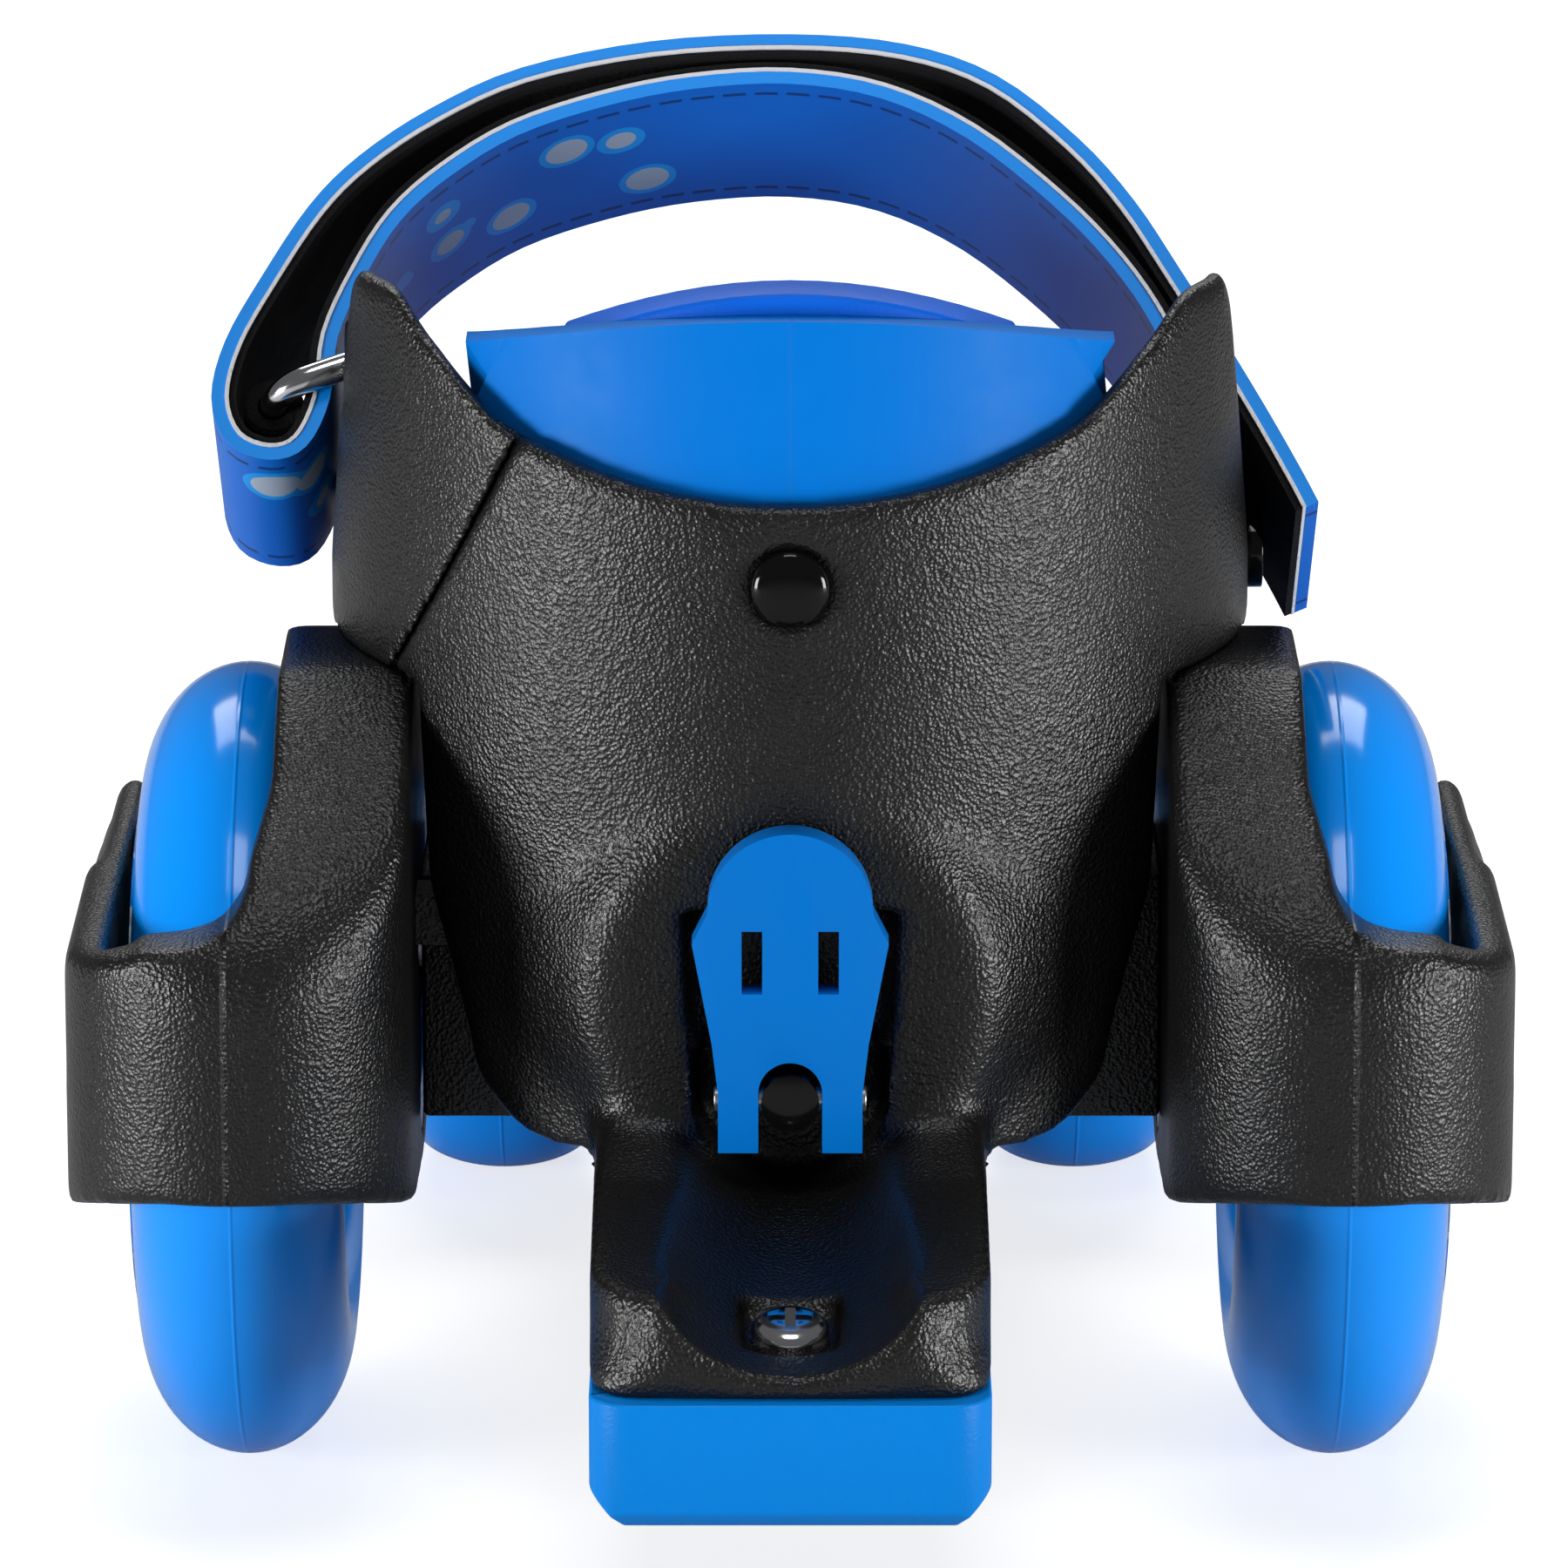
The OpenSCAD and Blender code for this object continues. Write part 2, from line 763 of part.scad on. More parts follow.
// The rack's teeth hang down into the gaps of the pinion. A tooth of the pinion stands at the top,
// so the rack has a gap there.
module rack() {
    pitch = PI * gear_module;
    half_tip = pitch / 4 - backlash / 2 - addendum * tan(pressure_deg);
    half_root = pitch / 4 - backlash / 2 + dedendum * tan(pressure_deg);
    count = floor((rack_right + 8) / pitch);
    first = -2.5;
    color(black) along_y(rack_y0, rack_y1) {
        translate([-fender_in, rack_pitch_z + dedendum])
            square([fender_in + rack_right, rack_top - rack_pitch_z - dedendum]);
        for (i = [0 : count - 1]) {
            x = (first + i) * pitch;
            polygon([[x - half_root, rack_pitch_z + dedendum + 0.1], [x - half_root, rack_pitch_z + dedendum],
                [x - half_tip, rack_pitch_z - addendum], [x + half_tip, rack_pitch_z - addendum],
                [x + half_root, rack_pitch_z + dedendum], [x + half_root, rack_pitch_z + dedendum + 0.1]]);
        }
    }
}

module guide_rods() {
    color(steel) for (y = rod_ys) translate([0, y, rod_z])
        rod_x(1 - fender_in_face, 1 - fender_in_face + rod_len, rod_d);
}

module spindle() {
    color(black) translate([0, 0, spindle_z]) difference() {
        union() {
            rod_y(-recess_floor - 1, pinion_y0 + pinion_w, spindle_d);
            rod_y(-post_back, -recess_floor - 1, post_d);
        }
        translate([0, lever_y, 0]) rod_x(-far, far, pin_d + 2 * fit);
    }
}

module spindle_clip() {
    color(steel) translate([0, 0, spindle_z]) difference() {
        rod_y(-chamber_back + 0.1, pinion_y0 - 0.1, spindle_d + 5);
        rod_y(-far, far, spindle_d + 2 * fit);
    }
}

leg_in = post_d / 2 + 0.3;
slot_w = 2;
slot_h = 6.3;
slot_x = 3.7;
slot_z = 11;

// Seen from behind: a round head, a waist and two legs beside the spindle's post
module lever_outline() {
    head_r = lever_w / 2 - 1.5;
    shoulder = lever_reach - head_r;
    difference() {
        union() {
            translate([0, shoulder]) circle(r = head_r);
            polygon([[-head_r, shoulder], [-lever_w / 2, shoulder - 3], [-leg_out - 0.6, 6], [-leg_out, 1],
                [-leg_out, -leg_drop], [leg_out, -leg_drop], [leg_out, 1], [leg_out + 0.6, 6],
                [lever_w / 2, shoulder - 3], [head_r, shoulder]]);
        }
        translate([-leg_in, -leg_drop - 1]) square([2 * leg_in, leg_drop + 2]);
        translate([0, 1]) circle(r = leg_in);
        for (side = [-1, 1])
            translate([side * slot_x - slot_w / 2, slot_z]) square([slot_w, slot_h]);
    }
}

module lever() {
    color(blue) translate([0, 0, spindle_z]) difference() {
        along_y(lever_y - lever_t / 2, lever_y + lever_t / 2) lever_outline();
        translate([0, lever_y, 0]) rod_x(-far, far, pin_d + 2 * fit);
    }
}

module lever_pin() {
    color(steel) translate([0, lever_y, spindle_z]) rod_x(-leg_out - 0.4, leg_out + 0.4, pin_d);
}

// Strap

// The strap is a flat band that leans forwards. Its outline is drawn in the band's own plane:
// x as on the skate, and v up the lean, from the middle of the strap ring's bar.
strap_y = 17.7;
strap_z = seat_z + 22.6;
strap_clear = 1.5;

function strap_edge_z(y) = strap_z - (strap_clear + (y - strap_y) * sin(strap_tilt)) / cos(strap_tilt);

module on_strap() {
    translate([0, strap_y, strap_z]) rotate([90 - strap_tilt, 0, 0]) children();
}

// The middle of the band, from its riveted end inside the right wing, over the instep to the ring,
// round the ring's bar and back over itself to its free end outside the right wing
strap_route = [[41, -15], [41, -7], [40, 1], [37.2, 8.5], [33, 15.5], [27, 22.5], [18.5, 30], [9.5, 34.7], [0, 36.4],
    [-10, 35.8], [-19, 33.8], [-28, 30.4], [-35, 25.6], [-40, 20.5], [-43.6, 14], [-46.3, 7], [-47, 0],
    [-49, -4.8], [-52, -6], [-55.5, -4.4], [-57, 0], [-55.8, 6], [-52.4, 13], [-47.8, 21], [-43, 26.5],
    [-36, 31.8], [-27, 36.4], [-14, 39.4], [0, 40.2], [11.5, 39.1], [20.5, 35.6], [28.5, 28.6], [34, 21.6],
    [38.4, 14], [42.8, 6], [47, -2], [50.2, -8.5], [51.8, -12]];

// A smooth curve through points p, with n steps between two of them
function knot(p, i) = p[max(0, min(len(p) - 1, i))];
function curve_point(a, b, c, d, t) =
    0.5 * (2 * b + (c - a) * t + (2 * a - 5 * b + 4 * c - d) * t * t + (3 * b - a - 3 * c + d) * t * t * t);
function curve(p, n) = concat([for (i = [0 : len(p) - 2]) for (k = [0 : n - 1])
    curve_point(knot(p, i - 1), p[i], p[i + 1], knot(p, i + 2), k / n)], [p[len(p) - 1]]);

// The outline of a band of thickness t along a curve
function normal_at(c, i) = let (d = knot(c, i + 1) - knot(c, i - 1)) [-d[1], d[0]] / norm(d);
function band(c, t) = concat([for (i = [0 : len(c) - 1]) c[i] + normal_at(c, i) * t / 2],
    [for (i = [len(c) - 1 : -1 : 0]) c[i] - normal_at(c, i) * t / 2]);

strap_curve = curve(strap_route, 2);

module strap() {
    color(blue) difference() {
        on_strap() linear_extrude(strap_w, center = true) polygon(band(strap_curve, strap_t));
        strap_rivet_at() rod_x(-10, 10, strap_rivet_d + 4 * fit);
    }
}

// The hook-and-loop tape between the two layers: midway between them, over the instep
tape_route = [[31.2, 21.2], [24.4, 28.9], [15.4, 35], [7.4, 37.7], [0, 38.3], [-12, 37.6], [-23, 35], [-31.4, 31.2],
    [-38, 26.2]];
tape_t = 1;

module hook_tape() {
    color(black) on_strap() linear_extrude(strap_w - 1, center = true)
        polygon(band(curve(tape_route, 3), tape_t));
}

// The ring: a wire with two legs in the left wing's lug and a bar inside the strap's fold
ring_bar = [-51.8, 0];
ring_lean = 21;
ring_leg = 9.4;
ring_half = strap_w / 2 + 1.4;
ring_bend = 4;

// Drawn from the bar's middle: u along the legs towards the wing, and s along the bar
module strap_ring_wire(d, extra) {
    on_strap() translate([ring_bar[0], ring_bar[1], 0]) rotate([0, 0, ring_lean]) {
        translate([0, 0, -ring_half + ring_bend]) cylinder(d = d, h = 2 * (ring_half - ring_bend));
        for (side = [-1, 1]) {
            translate([ring_bend, 0, side * (ring_half - ring_bend)]) rotate([90, 0, 0])
                rotate_extrude(angle = 90, start = side > 0 ? 90 : 180)
                    translate([ring_bend, 0]) circle(d = d);
            translate([0, 0, side * ring_half]) rod_x(ring_bend, ring_leg + extra, d);
        }
    }
}

module strap_ring() {
    color(steel) strap_ring_wire(ring_d, 0);
}

module ring_lug() {
    lug_t = cup_wall;
    intersection() {
        on_strap() translate([-cup_r + 1.4, -11, -ring_half - 3]) cube([lug_t, 18, 2 * ring_half + 6]);
        slab(-far, 0, -far, cup_front, ledge_z, far);
    }
}

// The rivet that holds the strap's end inside the right wing
strap_rivet_d = 4;
strap_rivet_y = 12;
strap_rivet_z = seat_z + 14;

module strap_rivet_at() {
    translate([cup_r, strap_rivet_y, strap_rivet_z]) children();
}

module strap_rivet() {
    inner = -cup_wall - 1 - strap_t - 0.6;
    color(black) strap_rivet_at() {
        rod_x(0, 1.6, 8);
        rod_x(inner, 0.1, strap_rivet_d);
        rod_x(inner - 1.2, inner, 8);
    }
}

// Wheels

// A round tread: half an ellipse on each side, from the hub to the outer radius
function tread_points(r0, r1, w, n) = [for (i = [0 : n]) let (a = 180 * i / n)
    [r0 + (r1 - r0) * sin(a), -w / 2 * cos(a)]];

module turned(x) {
    translate([x, 0, 0]) rotate([0, 90, 0]) rotate_extrude($fn = 96) children();
}

module tyre(x, r0, r1, w) {
    seat = r0 - 4;
    turned(x) polygon(concat([[seat, -w / 2 + 2.5]], tread_points(r0, r1, w, 18), [[seat, w / 2 - 2.5]]));
}

// The hub: a rim under the tyre, a thin web and a boss with a seat for a bearing at each end
module hub(x, r0, w) {
    boss_r = bearing_d / 2 + 2;
    rim_r = min(r0 - 7, boss_r + 20);
    web = 3;
    rim_w = w - 5;
    turned(x) difference() {
        union() {
            translate([bearing_d / 2 - 2, -w / 2]) square([boss_r - bearing_d / 2 + 2, w]);
            translate([bearing_d / 2, -web]) square([r0 - 4 - bearing_d / 2, 2 * web]);
            translate([max(rim_r, boss_r - 1), -rim_w / 2]) square([r0 - 4 - max(rim_r, boss_r - 1), rim_w]);
        }
        for (side = [-1, 1])
            translate([0, side > 0 ? w / 2 - bearing_w : -w / 2]) square([bearing_d / 2 + fit, bearing_w]);
    }
}

// A bearing: two rings with a shield between them, set back a little on each face
module bearing(x) {
    groove = 0.4;
    race = 2.2;
    turned(x) difference() {
        translate([axle_d / 2 + fit, -bearing_w / 2]) square([bearing_d / 2 - axle_d / 2 - fit, bearing_w]);
        for (z = [-bearing_w / 2, bearing_w / 2 - groove])
            translate([axle_d / 2 + race, z]) square([bearing_d / 2 - axle_d / 2 - 2 * race, groove]);
    }
}

module bearing_pair(x, w) {
    for (side = [-1, 1]) bearing(x + side * (w - bearing_w) / 2);
}

module tube_x(x0, x1, d0, d1) {
    difference() {
        rod_x(x0, x1, d1);
        rod_x(x0 - 1, x1 + 1, d0);
    }
}

module at_rear_axle(side) {
    translate([0, 0, axle_z]) mirror([side < 0 ? 1 : 0, 0, 0]) children();
}

module at_front_axle(side) {
    translate([0, wheelbase, front_axle_z]) mirror([side < 0 ? 1 : 0, 0, 0]) children();
}

race_d = axle_d + 4;
bore_d = axle_d + 2 * fit;

module rear_tyre(side) {
    color(blue) at_rear_axle(side) tyre(wheel_x, hub_r, wheel_d / 2, wheel_w);
}

module rear_hub(side) {
    color(pale_blue) at_rear_axle(side) hub(wheel_x, hub_r, wheel_w);
}

// The printed disc on the wheel's outer face
module rear_hub_cover(side) {
    x = wheel_x + wheel_w / 2;
    color("white") at_rear_axle(side) turned(x)
        polygon([[bearing_d / 2 + 1, 0], [hub_r - 1, 0], [hub_r - 1, 0.3], [bearing_d / 2 + 1, 0.8]]);
}

module rear_bearings(side) {
    color(steel) at_rear_axle(side) bearing_pair(wheel_x, wheel_w);
}

module rear_spacer(side) {
    half = wheel_w / 2 - bearing_w;
    color(steel) at_rear_axle(side) tube_x(wheel_x - half, wheel_x + half, bore_d, race_d);
}

module rear_washers(side) {
    color(steel) at_rear_axle(side) {
        tube_x(fender_in_face, wheel_x - wheel_w / 2, bore_d, race_d);
        tube_x(wheel_x + wheel_w / 2, arm_in, bore_d, race_d);
    }
}

module rear_axle(side) {
    color(steel) at_rear_axle(side) difference() {
        union() {
            rod_x(fender_in + 0.2, fender_out - 1, axle_d);
            rod_x(fender_out - axle_head_h - 0.2, fender_out - 0.4, axle_head_d);
        }
        translate([fender_out - 2, 0, 0]) rotate([0, 90, 0]) cylinder(d = 5 / cos(30), h = 5, $fn = 6);
    }
}

module rear_axle_nut(side) {
    color(steel) translate([0, 0, 0]) mirror([side < 0 ? 1 : 0, 0, 0]) difference() {
        hex_pocket(fender_in + 0.2, fender_in + nut_h, nut_across);
        translate([0, 0, axle_z]) rod_x(0, far, bore_d);
    }
}

// Front wheels, on one axle through the keel

front_hub_r = bearing_d / 2 + 4;
front_x = front_track / 2;

module front_tyre(side) {
    color(blue) at_front_axle(side) tyre(front_x, front_hub_r + 2, front_wheel_d / 2, front_wheel_w);
}

module front_hub(side) {
    color(pale_blue) at_front_axle(side) hub(front_x, front_hub_r + 2, front_wheel_w);
}

module front_bearings(side) {
    color(steel) at_front_axle(side) bearing_pair(front_x, front_wheel_w);
}

module front_axle() {
    end = front_x + front_wheel_w / 2 + 5;
    color(steel) at_front_axle(1) rod_x(-end, end, axle_d);
}

module front_axle_nuts() {
    x = front_x + front_wheel_w / 2 + 0.2;
    color(steel) for (side = [-1, 1]) at_front_axle(side) difference() {
        union() {
            rod_x(x, x + 1.2, race_d);
            translate([x + 1.2, 0, 0]) rotate([0, 90, 0]) cylinder(d = nut_across / cos(30), h = 4, $fn = 6);
        }
        rod_x(0, far, bore_d);
    }
}

// Tubes on the front axle: outside the keel, and between each wheel's bearings
module front_spacers() {
    half = front_wheel_w / 2 - bearing_w;
    color(steel) for (side = [-1, 1]) at_front_axle(side) {
        tube_x(keel_x, front_x - front_wheel_w / 2, bore_d, race_d);
        tube_x(front_x - half, front_x + half, bore_d, race_d);
    }
}

on_frame() heel_shell();
on_frame() right_fender();
on_frame() left_wing();
on_frame() left_fender();
on_frame() axle_beam();
on_frame() keel();
on_frame() heel_cradle();
on_frame() heel_cushion();
on_frame() liner_rivet();
on_frame() brake_pad();
on_frame() brake_screw();
on_frame() spindle();
on_frame() spindle_clip();
on_frame() pinion();
on_frame() lever();
on_frame() lever_pin();
on_frame() rack();
on_frame() guide_rods();
on_frame() strap();
on_frame() hook_tape();
on_frame() strap_ring();
on_frame() strap_rivet();
on_frame() rear_axle(1);  // right_axle
on_frame() rear_axle_nut(1);  // right_axle_nut
on_frame() rear_washers(1);  // right_washers
on_frame() rear_tyre(1);  // right_tyre
on_frame() rear_hub(1);  // right_hub
on_frame() rear_hub_cover(1);  // right_hub_cover
on_frame() rear_bearings(1);  // right_bearings
on_frame() rear_spacer(1);  // right_spacer
on_frame() rear_axle(-1);  // left_axle
on_frame() rear_axle_nut(-1);  // left_axle_nut
on_frame() rear_washers(-1);  // left_washers
on_frame() rear_tyre(-1);  // left_tyre
on_frame() rear_hub(-1);  // left_hub
on_frame() rear_hub_cover(-1);  // left_hub_cover
on_frame() rear_bearings(-1);  // left_bearings
on_frame() rear_spacer(-1);  // left_spacer
on_frame() front_axle();
on_frame() front_axle_nuts();
on_frame() front_spacers();
on_frame() front_tyre(1);  // front_right_tyre
on_frame() front_hub(1);  // front_right_hub
on_frame() front_bearings(1);  // front_right_bearings
on_frame() front_tyre(-1);  // front_left_tyre
on_frame() front_hub(-1);  // front_left_hub
on_frame() front_bearings(-1);  // front_left_bearings
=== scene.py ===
import json
import math
import bpy
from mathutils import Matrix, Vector


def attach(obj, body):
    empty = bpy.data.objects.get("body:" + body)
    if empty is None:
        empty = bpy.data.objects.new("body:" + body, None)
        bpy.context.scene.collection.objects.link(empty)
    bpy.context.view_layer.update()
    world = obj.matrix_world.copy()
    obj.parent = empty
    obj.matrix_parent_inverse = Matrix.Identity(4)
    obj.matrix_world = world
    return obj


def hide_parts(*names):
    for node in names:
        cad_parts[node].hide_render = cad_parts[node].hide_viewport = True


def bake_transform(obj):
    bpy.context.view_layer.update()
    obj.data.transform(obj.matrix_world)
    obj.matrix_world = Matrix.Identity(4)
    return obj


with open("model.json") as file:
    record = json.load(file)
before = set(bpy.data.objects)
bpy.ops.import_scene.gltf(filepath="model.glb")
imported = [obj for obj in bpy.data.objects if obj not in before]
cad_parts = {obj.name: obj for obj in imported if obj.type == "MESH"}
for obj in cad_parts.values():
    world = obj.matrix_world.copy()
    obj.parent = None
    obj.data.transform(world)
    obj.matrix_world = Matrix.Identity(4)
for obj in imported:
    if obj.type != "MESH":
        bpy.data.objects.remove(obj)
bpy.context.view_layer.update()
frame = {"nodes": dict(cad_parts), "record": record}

# The skate's main places, in metres: x to its right, y ahead, z up from the floor
REAR_AXLE_Y = -0.0195
SEAT_Z = 0.076
WHEEL_X = 0.0545
WHEEL_Z = 0.04
FRONT_WHEEL_X = 0.0315
FRONT_WHEEL_Y = 0.0755
FRONT_WHEEL_Z = 0.022
RIVET_PLACE = Vector((0, REAR_AXLE_Y - 0.038, 0.098))

# The brake arm's trough leans, and the brake screw stands square to its floor
TROUGH_LEAN = math.radians(11)
SCREW_PLACE = Vector((0, REAR_AXLE_Y - 0.067, 0.03307))
SCREW_AXIS = Vector((0, -math.sin(TROUGH_LEAN), math.cos(TROUGH_LEAN)))

# The strap lies in a leaning plane
STRAP_WIDTH = 0.025
STRAP_TILT = math.radians(39)
STRAP_MIDDLE = Vector((0, REAR_AXLE_Y + 0.0177, SEAT_Z + 0.0226))
STRAP_UP = Vector((0, math.sin(STRAP_TILT), math.cos(STRAP_TILT)))
STRAP_ACROSS = Vector((0, math.cos(STRAP_TILT), -math.sin(STRAP_TILT)))
RING_BAR = STRAP_MIDDLE + Vector((-0.0518, 0, 0))


# Finishes

def new_finish(name, colour, roughness, metallic=0.0, specular=0.5):
    finish = bpy.data.materials.new(name)
    finish.use_nodes = True
    shader = finish.node_tree.nodes["Principled BSDF"]
    shader.inputs["Base Color"].default_value = (*colour, 1)
    shader.inputs["Roughness"].default_value = roughness
    shader.inputs["Metallic"].default_value = metallic
    shader.inputs["Specular IOR Level"].default_value = specular
    return finish, finish.node_tree, shader


def add_bump(tree, shader, height, strength, distance):
    bump = tree.nodes.new("ShaderNodeBump")
    bump.inputs["Strength"].default_value = strength
    bump.inputs["Distance"].default_value = distance
    tree.links.new(height, bump.inputs["Height"])
    tree.links.new(bump.outputs["Normal"], shader.inputs["Normal"])


# One step of arithmetic on numbers or sockets
def step(tree, operation, first, second=None):
    node = tree.nodes.new("ShaderNodeMath")
    node.operation = operation
    for socket, value in zip(node.inputs, (first, second)):
        if isinstance(value, (int, float)):
            socket.default_value = value
        elif value is not None:
            tree.links.new(value, socket)
    return node.outputs["Value"]


def split(tree, vector):
    parts = tree.nodes.new("ShaderNodeSeparateXYZ")
    tree.links.new(vector, parts.inputs["Vector"])
    return parts.outputs


def object_place(tree):
    place = tree.nodes.new("ShaderNodeTexCoord")
    return place.outputs["Object"]


def noise(tree, vector, scale, detail):
    texture = tree.nodes.new("ShaderNodeTexNoise")
    texture.inputs["Scale"].default_value = scale
    texture.inputs["Detail"].default_value = detail
    tree.links.new(vector, texture.inputs["Vector"])
    return texture.outputs["Fac"]


def mix_colour(tree, mask, under, over):
    mix = tree.nodes.new("ShaderNodeMix")
    mix.data_type = "RGBA"
    tree.links.new(mask, mix.inputs["Factor"])
    for socket, value in ((mix.inputs["A"], under), (mix.inputs["B"], over)):
        if isinstance(value, tuple):
            socket.default_value = (*value, 1)
        else:
            tree.links.new(value, socket)
    return mix.outputs["Result"]


# A thin raised line where the two halves of a mould met, at a distance from the skate's middle
def mould_line(tree, vector, distance, half_width):
    from_middle = step(tree, "ABSOLUTE", split(tree, vector)["X"])
    away = step(tree, "ABSOLUTE", step(tree, "SUBTRACT", from_middle, distance))
    fade = step(tree, "SUBTRACT", 1, step(tree, "DIVIDE", away, half_width))
    return step(tree, "MAXIMUM", fade, 0)


ROUGHNESS_SPREAD = 0.5


# Roughness wanders a little over the surface, as on a handled piece
def uneven_roughness(tree, shader, vector, roughness, scale):
    around_zero = step(tree, "SUBTRACT", noise(tree, vector, scale, detail=4), 0.5)
    spread = step(tree, "MULTIPLY", around_zero, roughness * ROUGHNESS_SPREAD)
    tree.links.new(step(tree, "ADD", spread, roughness), shader.inputs["Roughness"])


BLACK = (0.003, 0.003, 0.003)
BLACK_ROUGHNESS = 0.36
BLACK_LINE_HEIGHT = 3


def grained_black():
    finish, tree, shader = new_finish("grained black plastic", BLACK, BLACK_ROUGHNESS, specular=0.45)
    vector = object_place(tree)
    cells = tree.nodes.new("ShaderNodeTexVoronoi")
    cells.feature = "SMOOTH_F1"
    cells.inputs["Scale"].default_value = 2700
    cells.inputs["Smoothness"].default_value = 0.4
    tree.links.new(vector, cells.inputs["Vector"])
    grain = step(tree, "ADD", cells.outputs["Distance"], noise(tree, vector, scale=1900, detail=2))
    line = mould_line(tree, vector, WHEEL_X, half_width=0.0003)
    height = step(tree, "ADD", grain, step(tree, "MULTIPLY", line, BLACK_LINE_HEIGHT))
    add_bump(tree, shader, height, strength=1.0, distance=0.0001)
    uneven_roughness(tree, shader, vector, BLACK_ROUGHNESS, scale=160)
    return finish


DOTS_PER_METRE = 130


# One cell for each printed dot
def dot_cells(tree, vector, randomness):
    cells = tree.nodes.new("ShaderNodeTexVoronoi")
    cells.inputs["Scale"].default_value = DOTS_PER_METRE
    cells.inputs["Randomness"].default_value = randomness
    tree.links.new(vector, cells.inputs["Vector"])
    return cells.outputs


STRAP_BLUE = (0.001, 0.12, 0.52)
STRAP_DOT_RIM = (0.006, 0.27, 0.7)
STRAP_DOT = (0.34, 0.4, 0.46)
STRAP_DOT_R = 0.3
STRAP_DOT_RIM_R = 0.4
DOT_FIELD_HALF = 0.0064
DOT_FIELD_START = 0.085
# Painted shade: the stitches' thread is strap blue, and this dark navy stands for the shadow in and around
# them
STITCH_SHADE_BLUE = (0.002, 0.035, 0.17)
STITCH_LENGTH = 0.0033
STITCH_GAP = 0.28
STITCH_HALF = 0.00028
SEAM_OFF_MIDDLE = 0.0103
SEAM_GROOVE_HALF = 0.0006
CUT_EDGE_BLUE = (0.002, 0.23, 0.74)
CUT_EDGE_START = 0.01242


# The strap's own map runs along it and across it, in metres
def strap_blue():
    finish, tree, shader = new_finish("blue coated strap", STRAP_BLUE, 0.42, specular=0.15)
    marks = tree.nodes.new("ShaderNodeUVMap")
    marks.uv_map = "along_strap"
    parts = split(tree, marks.outputs["UV"])
    from_middle = step(tree, "ABSOLUTE", parts["Y"])

    # Whole dots only: a dot is printed when its own middle lies in the field
    dots = dot_cells(tree, marks.outputs["UV"], randomness=0.75)
    middles = split(tree, dots["Position"])
    in_field = step(tree, "LESS_THAN", step(tree, "ABSOLUTE", middles["Y"]), DOT_FIELD_HALF)
    field = step(tree, "MULTIPLY", in_field, step(tree, "GREATER_THAN", middles["X"], DOT_FIELD_START))
    colour = STRAP_BLUE
    for radius, dot_colour in ((STRAP_DOT_RIM_R, STRAP_DOT_RIM), (STRAP_DOT_R, STRAP_DOT)):
        in_dot = step(tree, "LESS_THAN", dots["Distance"], radius)
        colour = mix_colour(tree, step(tree, "MULTIPLY", in_dot, field), colour, dot_colour)

    # A row of stitches along each edge, in a shallow groove. Their dark navy is painted shade: the thread
    # itself is strap blue, and only its shadow is dark
    along_stitch = step(tree, "FRACT", step(tree, "DIVIDE", parts["X"], STITCH_LENGTH))
    dash = step(tree, "GREATER_THAN", along_stitch, STITCH_GAP)
    off_seam = step(tree, "ABSOLUTE", step(tree, "SUBTRACT", from_middle, SEAM_OFF_MIDDLE))
    stitch = step(tree, "MULTIPLY", dash, step(tree, "LESS_THAN", off_seam, STITCH_HALF))
    colour = mix_colour(tree, stitch, colour, STITCH_SHADE_BLUE)
    cut_edge = step(tree, "GREATER_THAN", from_middle, CUT_EDGE_START)
    colour = mix_colour(tree, cut_edge, colour, CUT_EDGE_BLUE)
    tree.links.new(colour, shader.inputs["Base Color"])
    groove = step(tree, "LESS_THAN", off_seam, SEAM_GROOVE_HALF)
    add_bump(tree, shader, step(tree, "SUBTRACT", stitch, groove), strength=0.5, distance=0.0003)
    return finish


DISC_WHITE = (0.75, 0.8, 0.85)
DISC_BLUE = (0.02, 0.3, 0.72)
DISC_DOT_RIM = (0.6, 0.66, 0.72)
DISC_DOT = (0.25, 0.33, 0.42)
DISC_DOT_R = 0.35
DISC_DOT_RIM_R = 0.45


def printed_white():
    finish, tree, shader = new_finish("white disc with blue dots", DISC_WHITE, 0.3)
    dots = dot_cells(tree, object_place(tree), randomness=1.0)
    colour = DISC_BLUE
    for radius, dot_colour in ((DISC_DOT_RIM_R, DISC_DOT_RIM), (DISC_DOT_R, DISC_DOT)):
        colour = mix_colour(tree, step(tree, "LESS_THAN", dots["Distance"], radius), colour, dot_colour)
    tree.links.new(colour, shader.inputs["Base Color"])
    return finish


# Plastic, rubber and metal with a faintly uneven surface, and a mould line where line_at gives one
def plain(name, colour, roughness, metallic=0.0, coat=0.0, specular=0.5, line_at=None, pits=0.15):
    finish, tree, shader = new_finish(name, colour, roughness, metallic, specular)
    shader.inputs["Coat Weight"].default_value = coat
    shader.inputs["Coat Roughness"].default_value = 0.12
    vector = object_place(tree)
    uneven_roughness(tree, shader, vector, roughness, scale=220)
    height = step(tree, "MULTIPLY", noise(tree, vector, scale=2500, detail=3), pits)
    if line_at is not None:
        height = step(tree, "ADD", height, mould_line(tree, vector, line_at, half_width=0.00025))
    add_bump(tree, shader, height, strength=0.5, distance=0.00015)
    return finish


def urethane(name, line_at):
    return plain(name, (0.0, 0.25, 0.85), 0.14, coat=0.1, specular=0.3, line_at=line_at, pits=0.0)


